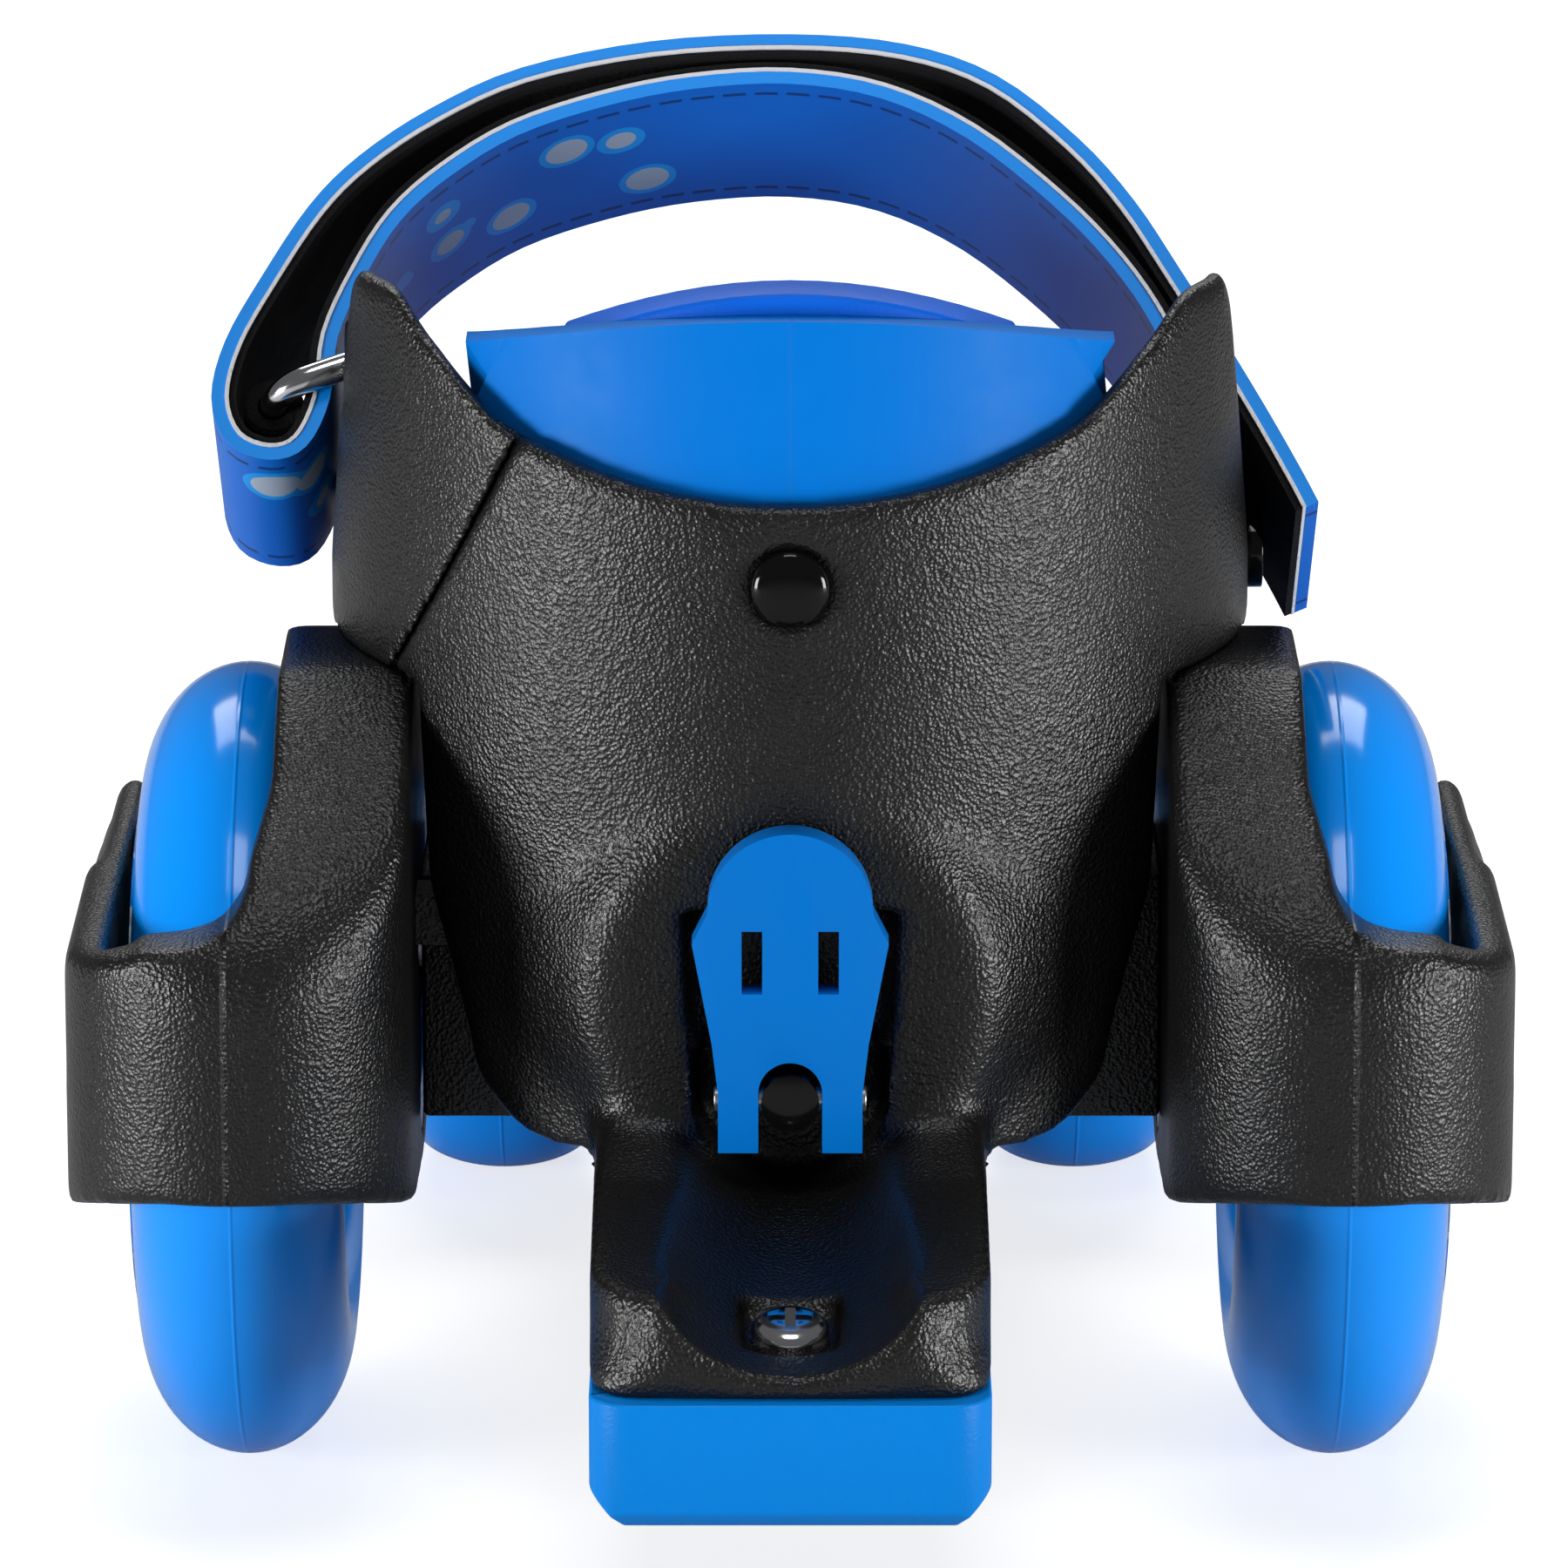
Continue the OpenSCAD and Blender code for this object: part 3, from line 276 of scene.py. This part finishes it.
FINISHES = {
    "black_plastic": grained_black(),
    "blue_plastic": plain("satin blue plastic", (0.0, 0.155, 0.58), 0.46, specular=0.07, line_at=0.0),
    "blue_foam": plain("moulded blue foam", (0.0, 0.11, 0.62), 0.5, specular=0.15, pits=0.5),
    "blue_urethane": urethane("glossy blue urethane", WHEEL_X),
    "hub_plastic": plain("moulded blue hub", (0.0, 0.2, 0.7), 0.4, specular=0.3),
    "printed_disc": printed_white(),
    "brake_rubber": plain("blue brake rubber", (0.0, 0.19, 0.62), 0.4, specular=0.12, pits=0.6),
    "black_rivet": plain("glossy black", (0.002, 0.002, 0.002), 0.08, specular=0.25, pits=0.0),
    "steel": plain("plain steel", (0.5, 0.51, 0.53), 0.3, metallic=1.0),
    "chrome": plain("polished chrome", (0.6, 0.61, 0.63), 0.14, metallic=1.0, pits=0.0),
    "blue_band": strap_blue(),
    "hook_and_loop": plain("black fleece", (0.005, 0.005, 0.006), 0.95, specular=0.2, pits=4.0),
}
FRONT_URETHANE = urethane("front blue urethane", FRONT_WHEEL_X)
LEVER_BLUE = plain("blue lever plastic", (0.0, 0.14, 0.5), 0.36, specular=0.12, pits=0.1)
WHITE_CORE = plain("white strap core", (0.62, 0.63, 0.65), 0.8, specular=0.3, pits=2.0)
SLOT_OF = {part["node"]: part["material_slot"] for part in frame["record"]["subparts"]}
BODY_OF = {n: body for body, nodes in frame["record"]["behaviour"]["bodies"].items() for n in nodes}


def give_finish(obj, finish):
    obj.data.materials.clear()
    obj.data.materials.append(finish)


for node_name, node in frame["nodes"].items():
    give_finish(node, FINISHES[SLOT_OF[node_name]])


# Modelling helpers

def deselect():
    bpy.ops.object.select_all(action="DESELECT")


def pick(obj):
    deselect()
    obj.select_set(True)
    bpy.context.view_layer.objects.active = obj


def edit_all():
    bpy.ops.object.mode_set(mode="EDIT")
    bpy.ops.mesh.select_all(action="SELECT")


def leave_edit():
    bpy.ops.object.mode_set(mode="OBJECT")


def apply_modifiers(obj):
    pick(obj)
    for modifier in list(obj.modifiers):
        bpy.ops.object.modifier_apply(modifier=modifier.name)


def move_vertices(obj, reshape):
    for vertex in obj.data.vertices:
        vertex.co = reshape(vertex.co)


def smooth_by_angle(obj, degrees):
    pick(obj)
    bpy.ops.object.shade_smooth_by_angle(angle=math.radians(degrees))


def merged_copy(node_name, new_name):
    node = frame["nodes"][node_name]
    obj = node.copy()
    obj.data = node.data.copy()
    obj.name = new_name
    obj.parent = None
    obj.matrix_world = node.matrix_world.copy()
    bpy.context.collection.objects.link(obj)
    pick(obj)
    bpy.ops.object.transform_apply(location=True, rotation=True, scale=True)
    edit_all()
    bpy.ops.mesh.remove_doubles(threshold=0.000001)
    leave_edit()
    return obj


# The new piece stands for a node: it rides on the node's body, takes the finish of the node's slot or its
# own, and the node is hidden
def dress(obj, node_name, finish=None):
    give_finish(obj, finish or FINISHES[SLOT_OF[node_name]])
    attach(obj, BODY_OF[node_name])
    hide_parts(node_name)


SMOOTH_FACTOR = 0.5
FLOW_ROUNDS = 60


# A moulded piece: its hard edges are melted round, as in a plastic moulding.
# Where soft_zone gives a weight, the form is softened more, so that one form flows into the next.
def melted_copy(node_name, voxel, rounds, soft_zone, reshape=None):
    obj = merged_copy(node_name, "moulded_" + node_name)
    remesh = obj.modifiers.new("melt", "REMESH")
    remesh.mode = "VOXEL"
    remesh.voxel_size = voxel
    apply_modifiers(obj)
    if reshape:
        move_vertices(obj, reshape)
    soften = obj.modifiers.new("soften", "SMOOTH")
    soften.factor = SMOOTH_FACTOR
    soften.iterations = rounds
    apply_modifiers(obj)
    zone = obj.vertex_groups.new(name="soft_zone")
    top = max(vertex.co.z for vertex in obj.data.vertices)
    for vertex in obj.data.vertices:
        weight = soft_zone(vertex.co, top)
        if weight > 0:
            zone.add([vertex.index], min(1, weight), "REPLACE")
    flow = obj.modifiers.new("flow", "SMOOTH")
    flow.vertex_group = "soft_zone"
    flow.factor = SMOOTH_FACTOR
    flow.iterations = FLOW_ROUNDS
    apply_modifiers(obj)
    bpy.ops.object.shade_smooth()
    dress(obj, node_name)


# The scoop in the cup's rim is drawn by two circles round the skate's middle
SCOOP_R = 0.068
SCOOP_Z = 0.174
SCOOP_SIDE_R = 0.046
SCOOP_SIDE_Z = 0.1485
RIM_REACH = 0.0025
RIM_FADE = 0.001
RIM_WEIGHT = 0.25
WING_TIP = 0.007
WING_TIP_FADE = 0.004


# The cup's scooped rim is rounded a little, and a wing's upper corner well
def rim_zone(place, top):
    inside = min(SCOOP_R - math.hypot(place.x, place.z - SCOOP_Z),
                 SCOOP_SIDE_R - math.hypot(place.x, place.z - SCOOP_SIDE_Z))
    tip = (place.z - top + WING_TIP) / WING_TIP_FADE
    return max(tip, min(RIM_WEIGHT, (RIM_REACH - abs(inside)) / RIM_FADE))


NOSE_Z = 0.057
NOSE_FRONT = REAR_AXLE_Y - 0.022
NOSE_R = 0.036
NOSE_FADE = 0.006
NOSE_FOOT_Z = 0.041
NOSE_FOOT_FADE = 0.004
WELL_R = 0.0155
WELL_FADE = 0.004


# The round nose flows into the cup's back, all round the lever's well
def nose_zone(place, top):
    rim = rim_zone(place, top)
    if place.y > NOSE_FRONT:
        return rim
    ring = math.hypot(place.x, place.z - NOSE_Z)
    nose = min((ring - WELL_R) / WELL_FADE, (NOSE_R - ring) / NOSE_FADE,
               (place.z - NOSE_FOOT_Z) / NOSE_FOOT_FADE)
    return max(rim, nose)


# The fender: lengths behind the rear axle, and heights over it
FENDER_MIDDLE = 0.0539
FENDER_REACH = 0.047
FENDER_SKIN = 0.0016
FENDER_CORNER = 0.0155
FENDER_FLAT = 0.0014
FENDER_FOOT = -0.002
BAND_TOP = 0.016
LEAN_LENGTH = 0.022


# The fender's back stands upright up to the band's top edge, and leans in above it
def upright_back(place):
    y = place.y - REAR_AXLE_Y
    z = place.z - WHEEL_Z
    if y > 0 or z < FENDER_FOOT or math.hypot(y, z) < FENDER_REACH - FENDER_SKIN:
        return place
    aside = max(0, abs(abs(place.x) - FENDER_MIDDLE) - FENDER_FLAT)
    if aside >= FENDER_CORNER:
        return place
    upright = -(FENDER_REACH - FENDER_CORNER) - math.sqrt(FENDER_CORNER ** 2 - aside ** 2)
    keep = min(1, max(0, (z - BAND_TOP) / LEAN_LENGTH))
    share = 1 - keep * keep * (3 - 2 * keep)
    return Vector((place.x, REAR_AXLE_Y + min(y, y + (upright - y) * share), place.z))


ARCH_X = 0.0625
ARCH_Z = 0.047
ARCH_FADE = 0.004
ARCH_WEIGHT = 0.35


# The arch over the tyre's outer half ends softly
def fender_arch(place, top):
    return min(ARCH_WEIGHT, (abs(place.x) - ARCH_X) / ARCH_FADE, (place.z - ARCH_Z) / ARCH_FADE)


# The brake arm: lengths behind the rear axle, and heights over the floor
ARM_BACK = 0.077
ARM_HALF = 0.019
ARM_SIDE_SLACK = 0.0005
ARM_FLOOR = 0.029
ARM_LEAST = 0.001
RAIL_BACK_Z = 0.032
RAIL_SLOPE = 0.3165
TROUGH_R = 0.0147
OUTSIDE_TROUGH = 1.0
BLOCK_TOP = 0.0385
BLOCK_SLOPE = 0.1
BLOCK_EDGE = 0.002
BLOCK_CORNER = 0.0105
BLOCK_FOOT_CORNER = 0.0045
BLOCK_FOOT = 0.005
BLOCK_LENGTH = 0.031


# The height of the trough's round wall, at a distance from the middle and ahead of the arm's back
def trough_wall(x, ahead):
    if x >= TROUGH_R:
        return OUTSIDE_TROUGH
    floor = SCREW_PLACE.z + (ahead - ARM_BACK - SCREW_PLACE.y + REAR_AXLE_Y) * math.tan(TROUGH_LEAN)
    return floor + TROUGH_R - math.sqrt(TROUGH_R ** 2 - x ** 2)


# The brake arm ends in a blunt block with round corners, and the trough runs out through its back
def block_end(place):
    x, z = abs(place.x), place.z
    ahead = ARM_BACK + place.y - REAR_AXLE_Y
    if ahead > BLOCK_LENGTH or x > ARM_HALF + ARM_SIDE_SLACK or z < ARM_FLOOR - ARM_LEAST:
        return place
    wall = trough_wall(x, ahead)
    rail = max(ARM_FLOOR + ARM_LEAST, min(RAIL_BACK_Z + ahead * RAIL_SLOPE, wall))
    short = BLOCK_EDGE - min(BLOCK_EDGE, max(0, ahead))
    block = BLOCK_TOP + ahead * BLOCK_SLOPE - BLOCK_EDGE + math.sqrt(BLOCK_EDGE ** 2 - short ** 2)
    lifted = max(rail, min(block, wall))
    if z > ARM_FLOOR:
        z = ARM_FLOOR + (z - ARM_FLOOR) * (lifted - ARM_FLOOR) / (rail - ARM_FLOOR)
    up = min(1, max(0, (z - ARM_FLOOR) / BLOCK_FOOT))
    corner = BLOCK_FOOT_CORNER + (BLOCK_CORNER - BLOCK_FOOT_CORNER) * up
    aside, back = x - ARM_HALF + corner, corner - ahead
    if aside > 0 and back > 0:
        shrink = max(aside, back) / math.hypot(aside, back)
        x = ARM_HALF - corner + aside * shrink
        ahead = corner - back * shrink
    return Vector((math.copysign(x, place.x), REAR_AXLE_Y - ARM_BACK + ahead, z))


melted_copy("heel_shell", voxel=0.0007, rounds=4, soft_zone=nose_zone, reshape=block_end)
for moulded in ("right_fender", "left_fender"):
    melted_copy(moulded, voxel=0.0008, rounds=8, soft_zone=fender_arch, reshape=upright_back)
melted_copy("left_wing", voxel=0.0006, rounds=6, soft_zone=rim_zone)


SHARP_EDGE = 35
FLAT_ENOUGH = 0.5


# A turned, pressed or cast piece: its merged copy gets round edges and shades smoothly round its curves
def rounded_copy(node_name, edge, reshape=None):
    obj = merged_copy(node_name, "rounded_" + node_name)
    edit_all()
    bpy.ops.mesh.dissolve_limited(angle_limit=math.radians(FLAT_ENOUGH))
    leave_edit()
    if reshape:
        move_vertices(obj, reshape)
    if edge:
        bevel = obj.modifiers.new("edge", "BEVEL")
        bevel.width = edge
        bevel.segments = 3
        bevel.limit_method = "ANGLE"
        bevel.angle_limit = math.radians(SHARP_EDGE)
        bevel.use_clamp_overlap = True
        apply_modifiers(obj)
    smooth_by_angle(obj, SHARP_EDGE)
    dress(obj, node_name)
    return obj


LINER_CORNER_X = 0.027
LINER_CORNER_Z = 0.1125
LINER_CORNER_NEAR = 0.0008
LINER_CORNER_OUT = 0.0038
LINER_CORNER_AHEAD = 0.0029


# The liner's upper corners spread along the cup's wall, down to the rim
def spread_corner(place):
    if (abs(abs(place.x) - LINER_CORNER_X) > LINER_CORNER_NEAR
            or abs(place.z - LINER_CORNER_Z) > LINER_CORNER_NEAR):
        return place
    return place + Vector((math.copysign(LINER_CORNER_OUT, place.x), LINER_CORNER_AHEAD, 0))


for turned in ("right_hub", "left_hub", "front_right_hub", "front_left_hub",
               "right_hub_cover", "left_hub_cover"):
    rounded_copy(turned, edge=0)
rounded_copy("heel_cradle", edge=0.0006, reshape=spread_corner)
rounded_copy("brake_pad", edge=0.0006)
rounded_copy("heel_cushion", edge=0.0012)
give_finish(rounded_copy("lever", edge=0.0011), LEVER_BLUE)
for cast in ("keel", "axle_beam"):
    rounded_copy(cast, edge=0.001)
for small in ("spindle", "lever_pin", "strap_ring", "strap_rivet",
              "right_axle", "left_axle", "front_axle",
              "right_axle_nut", "left_axle_nut", "front_axle_nuts",
              "right_spacer", "left_spacer", "front_spacers", "right_washers", "left_washers",
              "right_bearings", "left_bearings", "front_right_bearings", "front_left_bearings"):
    rounded_copy(small, edge=0.00015)


# A turned piece: an outline of (radius, along) points on a ring, spun round an axis
def spun(name, outline, centre, axis, steps):
    deselect()
    bpy.ops.mesh.primitive_circle_add(vertices=len(outline), radius=1, location=(0, 0, 0))
    obj = bpy.context.active_object
    obj.name = name
    axis = Vector(axis).normalized()
    side = axis.orthogonal().normalized()
    for vertex, (radius, along) in zip(obj.data.vertices, outline):
        vertex.co = Vector(centre) + side * radius + axis * along
    edit_all()
    bpy.ops.mesh.spin(steps=steps, angle=2 * math.pi, center=centre, axis=axis)
    bpy.ops.mesh.select_all(action="SELECT")
    bpy.ops.mesh.remove_doubles(threshold=0.000002)
    bpy.ops.mesh.normals_make_consistent(inside=False)
    leave_edit()
    smooth_by_angle(obj, degrees=40)
    return obj


TYRE_SEAT = 0.004
TYRE_LIP = 0.0025
TREAD_POINTS = 37


# A poured tyre: half an ellipse on its tread, and a seat that grips the hub
def poured_tyre(node_name, finish, centre, inner, outer, width):
    arc = [math.pi * k / (TREAD_POINTS - 1) for k in range(TREAD_POINTS)]
    outline = [(inner + (outer - inner) * math.sin(a), -width / 2 * math.cos(a)) for a in arc]
    outline += [(inner - TYRE_SEAT, width / 2 - TYRE_LIP), (inner - TYRE_SEAT, TYRE_LIP - width / 2)]
    tyre = spun("poured_" + node_name, outline, centre, axis=(1, 0, 0), steps=120)
    dress(tyre, node_name, finish)


for side, name in ((1, "right"), (-1, "left")):
    poured_tyre(name + "_tyre", FINISHES["blue_urethane"],
                (side * WHEEL_X, REAR_AXLE_Y, WHEEL_Z), inner=0.027, outer=0.04, width=0.021)
    poured_tyre("front_" + name + "_tyre", FRONT_URETHANE,
                (side * FRONT_WHEEL_X, FRONT_WHEEL_Y, FRONT_WHEEL_Z), inner=0.017, outer=0.022, width=0.02)

# The rivet's domed head
RIVET_OUTLINE = [(0, -0.0012), (0.0038, -0.0012), (0.0038, 0.0002), (0.0037, 0.0006), (0.0034, 0.0009),
                 (0.0028, 0.0011), (0.0019, 0.00125), (0.001, 0.00132), (0, 0.00135)]
rivet = spun("domed_rivet", RIVET_OUTLINE, RIVET_PLACE, axis=(0, -1, 0), steps=48)
dress(rivet, "liner_rivet")

# The brake screw's domed head, with a cross cut into it
SCREW_OUTLINE = [(0, -0.0125), (0.002, -0.0125), (0.002, -0.0012), (0.0037, -0.0012),
                 (0.00375, -0.0002), (0.0036, 0.0003), (0.0032, 0.0007), (0.0025, 0.001),
                 (0.0015, 0.00118), (0, 0.00122)]
CROSS_LENGTH = 0.0042
CROSS_WIDTH = 0.001
CROSS_HEIGHT = 0.002
screw = spun("domed_brake_screw", SCREW_OUTLINE, SCREW_PLACE, SCREW_AXIS, steps=48)
for wide, deep in ((CROSS_LENGTH, CROSS_WIDTH), (CROSS_WIDTH, CROSS_LENGTH)):
    deselect()
    bpy.ops.mesh.primitive_cube_add(size=1, location=SCREW_PLACE + SCREW_AXIS * (CROSS_HEIGHT / 2),
                                    rotation=(TROUGH_LEAN, 0, 0), scale=(wide, deep, CROSS_HEIGHT))
    cutter = bpy.context.active_object
    cross = screw.modifiers.new("cross", "BOOLEAN")
    cross.operation = "DIFFERENCE"
    cross.solver = "EXACT"
    cross.object = cutter
    apply_modifiers(screw)
    bpy.data.objects.remove(cutter)
smooth_by_angle(screw, degrees=30)
dress(screw, "brake_screw")


# The strap: three layers along one route, a blue face, a white core and a black fleece.
# The route is in the strap's own plane, in millimetres: across the skate, and up the strap's lean.

STRAP_ROUTE = [(41, -15), (41, -7), (40, 1), (37.2, 8.5), (33, 15.5), (27, 22.5), (18.5, 30), (9.5, 34.7),
               (0, 36.4), (-10, 35.8), (-19, 33.8), (-28, 30.4), (-35, 25.6), (-40, 20.5), (-43.6, 14),
               (-46.3, 7), (-47, 0), (-49, -4.8), (-52, -6), (-55.5, -4.4), (-57, 0), (-55.8, 6),
               (-52.4, 13), (-47.8, 21), (-43, 26.5), (-36, 31.8), (-27, 36.4), (-14, 39.4), (0, 40.2),
               (11.5, 39.1), (20.5, 35.6), (28.5, 28.6), (34, 21.6), (38.4, 14), (42.8, 6), (47, -2),
               (50.2, -8.5), (51.8, -12)]
ROUTE_STEPS = 4


# A smooth curve through all the points
def smooth_route(points, steps):
    route = []
    last = len(points) - 1
    for i in range(last):
        a, b = Vector(points[max(0, i - 1)]), Vector(points[i])
        c, d = Vector(points[i + 1]), Vector(points[min(last, i + 2)])
        for k in range(steps):
            t = k / steps
            route.append(0.5 * (2 * b + (c - a) * t + (2 * a - 5 * b + 4 * c - d) * t * t
                                + (3 * b - a - 3 * c + d) * t ** 3))
    route.append(Vector(points[last]))
    return route


# The same route, shifted to its right
def beside(route, shift):
    moved = []
    for i, point in enumerate(route):
        ahead = route[min(i + 1, len(route) - 1)] - route[max(i - 1, 0)]
        moved.append(point + shift * Vector((ahead.y, -ahead.x)).normalized())
    return moved


def on_strap(point):
    return STRAP_MIDDLE + Vector((point.x / 1000, 0, 0)) + STRAP_UP * (point.y / 1000)


# An edge across the strap is pulled along the route, and the ribbon gets its thickness
def strap_layer(name, shift, thickness, width, finish):
    route = [on_strap(p) for p in beside(smooth_route(STRAP_ROUTE, ROUTE_STEPS), shift)]
    deselect()
    bpy.ops.mesh.primitive_plane_add(size=width, location=(0, 0, 0))
    layer = bpy.context.active_object
    layer.name = name
    bpy.ops.object.mode_set(mode="EDIT")
    bpy.ops.mesh.select_mode(type="VERT")
    bpy.ops.mesh.select_all(action="DESELECT")
    leave_edit()
    for vertex in layer.data.vertices:
        vertex.select = vertex.co.x > 0
    bpy.ops.object.mode_set(mode="EDIT")
    bpy.ops.mesh.delete(type="VERT")
    bpy.ops.mesh.select_all(action="SELECT")
    bpy.ops.transform.translate(value=(width / 2, 0, 0))
    bpy.ops.transform.rotate(value=STRAP_TILT, orient_axis="X", center_override=(0, 0, 0))
    bpy.ops.transform.translate(value=route[0])
    for here, there in zip(route, route[1:]):
        bpy.ops.mesh.extrude_region_move(TRANSFORM_OT_translate={"value": there - here})
    leave_edit()

    lengths = [0.0]
    for here, there in zip(route, route[1:]):
        lengths.append(lengths[-1] + (there - here).length)
    marks = layer.data.uv_layers.new(name="along_strap")
    for loop in layer.data.loops:
        place = layer.data.vertices[loop.vertex_index].co
        nearest = loop.vertex_index // 2
        marks.data[loop.index].uv = (lengths[nearest], (place - route[nearest]).dot(STRAP_ACROSS))
    layer.data.materials.append(finish)
    wall = layer.modifiers.new("thickness", "SOLIDIFY")
    wall.thickness = thickness
    wall.offset = 0
    wall.use_even_offset = True
    apply_modifiers(layer)
    edit_all()
    bpy.ops.mesh.normals_make_consistent(inside=False)
    leave_edit()
    smooth_by_angle(layer, degrees=50)
    return layer


# Shifts are in millimetres like the route; the core shows as a white line along the edge
strap_face = strap_layer("strap_face", shift=-0.25, thickness=0.0014, width=STRAP_WIDTH,
                         finish=FINISHES["blue_band"])
strap_core = strap_layer("strap_core", shift=0.6, thickness=0.0004, width=STRAP_WIDTH + 0.0003,
                         finish=WHITE_CORE)
strap_fleece = strap_layer("strap_fleece", shift=1.15, thickness=0.0008, width=STRAP_WIDTH - 0.0002,
                           finish=FINISHES["hook_and_loop"])
for layer in (strap_face, strap_core, strap_fleece):
    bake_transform(layer)
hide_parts("strap")
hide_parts("hook_tape")

# A short sleeve sits on the ring's bar inside the strap's fold
SLEEVE_OUTLINE = [(0.0016, -0.0105), (0.0027, -0.0105), (0.0031, -0.0101),
                  (0.0031, 0.0101), (0.0027, 0.0105), (0.0016, 0.0105)]
ring_sleeve = spun("ring_sleeve", SLEEVE_OUTLINE, RING_BAR, STRAP_ACROSS, steps=48)
give_finish(ring_sleeve, FINISHES["hook_and_loop"])
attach(ring_sleeve, "left_side")


# Floor, light and camera

FLOOR_GREY = (0.6, 0.6, 0.6)
FLOOR_GLOW = 0.68
SKY_STRENGTH = 0.14
WHITE = (1, 1, 1, 1)
LAMP_TARGET = Vector((0, REAR_AXLE_Y, 0.07))

# Name, place, width, height and power in watts: two low side lamps draw the upright highlights
LAMPS = [("left", (-0.5, -0.33, 0.09), 0.2, 0.16, 3.0),
         ("right", (0.5, -0.33, 0.09), 0.2, 0.16, 2.9),
         ("top", (0.0, -0.3, 0.95), 0.35, 0.3, 2.4),
         ("front", (0.0, 0.75, 0.9), 0.9, 0.5, 7.0)]


def studio():
    deselect()
    bpy.ops.mesh.primitive_plane_add(size=8, location=(0, 0, 0))
    floor = bpy.context.active_object
    floor.name = "pale_floor"
    finish, tree, shader = new_finish("pale floor", FLOOR_GREY, 0.9, specular=0.1)
    path = tree.nodes.new("ShaderNodeLightPath")
    seen = step(tree, "MAXIMUM", path.outputs["Is Camera Ray"], path.outputs["Is Transmission Ray"])
    shader.inputs["Emission Color"].default_value = WHITE
    tree.links.new(step(tree, "MULTIPLY", seen, FLOOR_GLOW), shader.inputs["Emission Strength"])
    give_finish(floor, finish)

    world = bpy.data.worlds.new("studio")
    bpy.context.scene.world = world
    world.use_nodes = True
    sky = world.node_tree.nodes["Background"]
    sky.inputs["Color"].default_value = WHITE
    sky.inputs["Strength"].default_value = SKY_STRENGTH

    for name, place, width, height, power in LAMPS:
        deselect()
        bpy.ops.object.light_add(type="AREA", location=place)
        lamp = bpy.context.active_object
        lamp.name = name + "_lamp"
        lamp.data.shape = "RECTANGLE"
        lamp.data.size = width
        lamp.data.size_y = height
        lamp.data.energy = power
        lamp.rotation_euler = (LAMP_TARGET - Vector(place)).to_track_quat("-Z", "Y").to_euler()
    bpy.context.scene.view_settings.view_transform = "Standard"


CAMERA_TILT = math.radians(15)
CAMERA_TARGET = Vector((-0.0006, REAR_AXLE_Y, 0.0685))
CAMERA_DISTANCE = 1.0
SENSOR_WIDTH = 36
PICTURE_WIDTH = 0.1573


def photo_camera():
    away = Vector((0, -math.cos(CAMERA_TILT), math.sin(CAMERA_TILT)))
    deselect()
    bpy.ops.object.camera_add(location=CAMERA_TARGET + CAMERA_DISTANCE * away)
    camera = bpy.context.active_object
    camera.rotation_euler = (math.pi / 2 - CAMERA_TILT, 0, 0)
    camera.data.sensor_fit = "HORIZONTAL"
    camera.data.sensor_width = SENSOR_WIDTH
    camera.data.lens = SENSOR_WIDTH * CAMERA_DISTANCE / PICTURE_WIDTH
    camera.data.clip_start = 0.01
    bpy.context.scene.camera = camera


studio()
photo_camera()
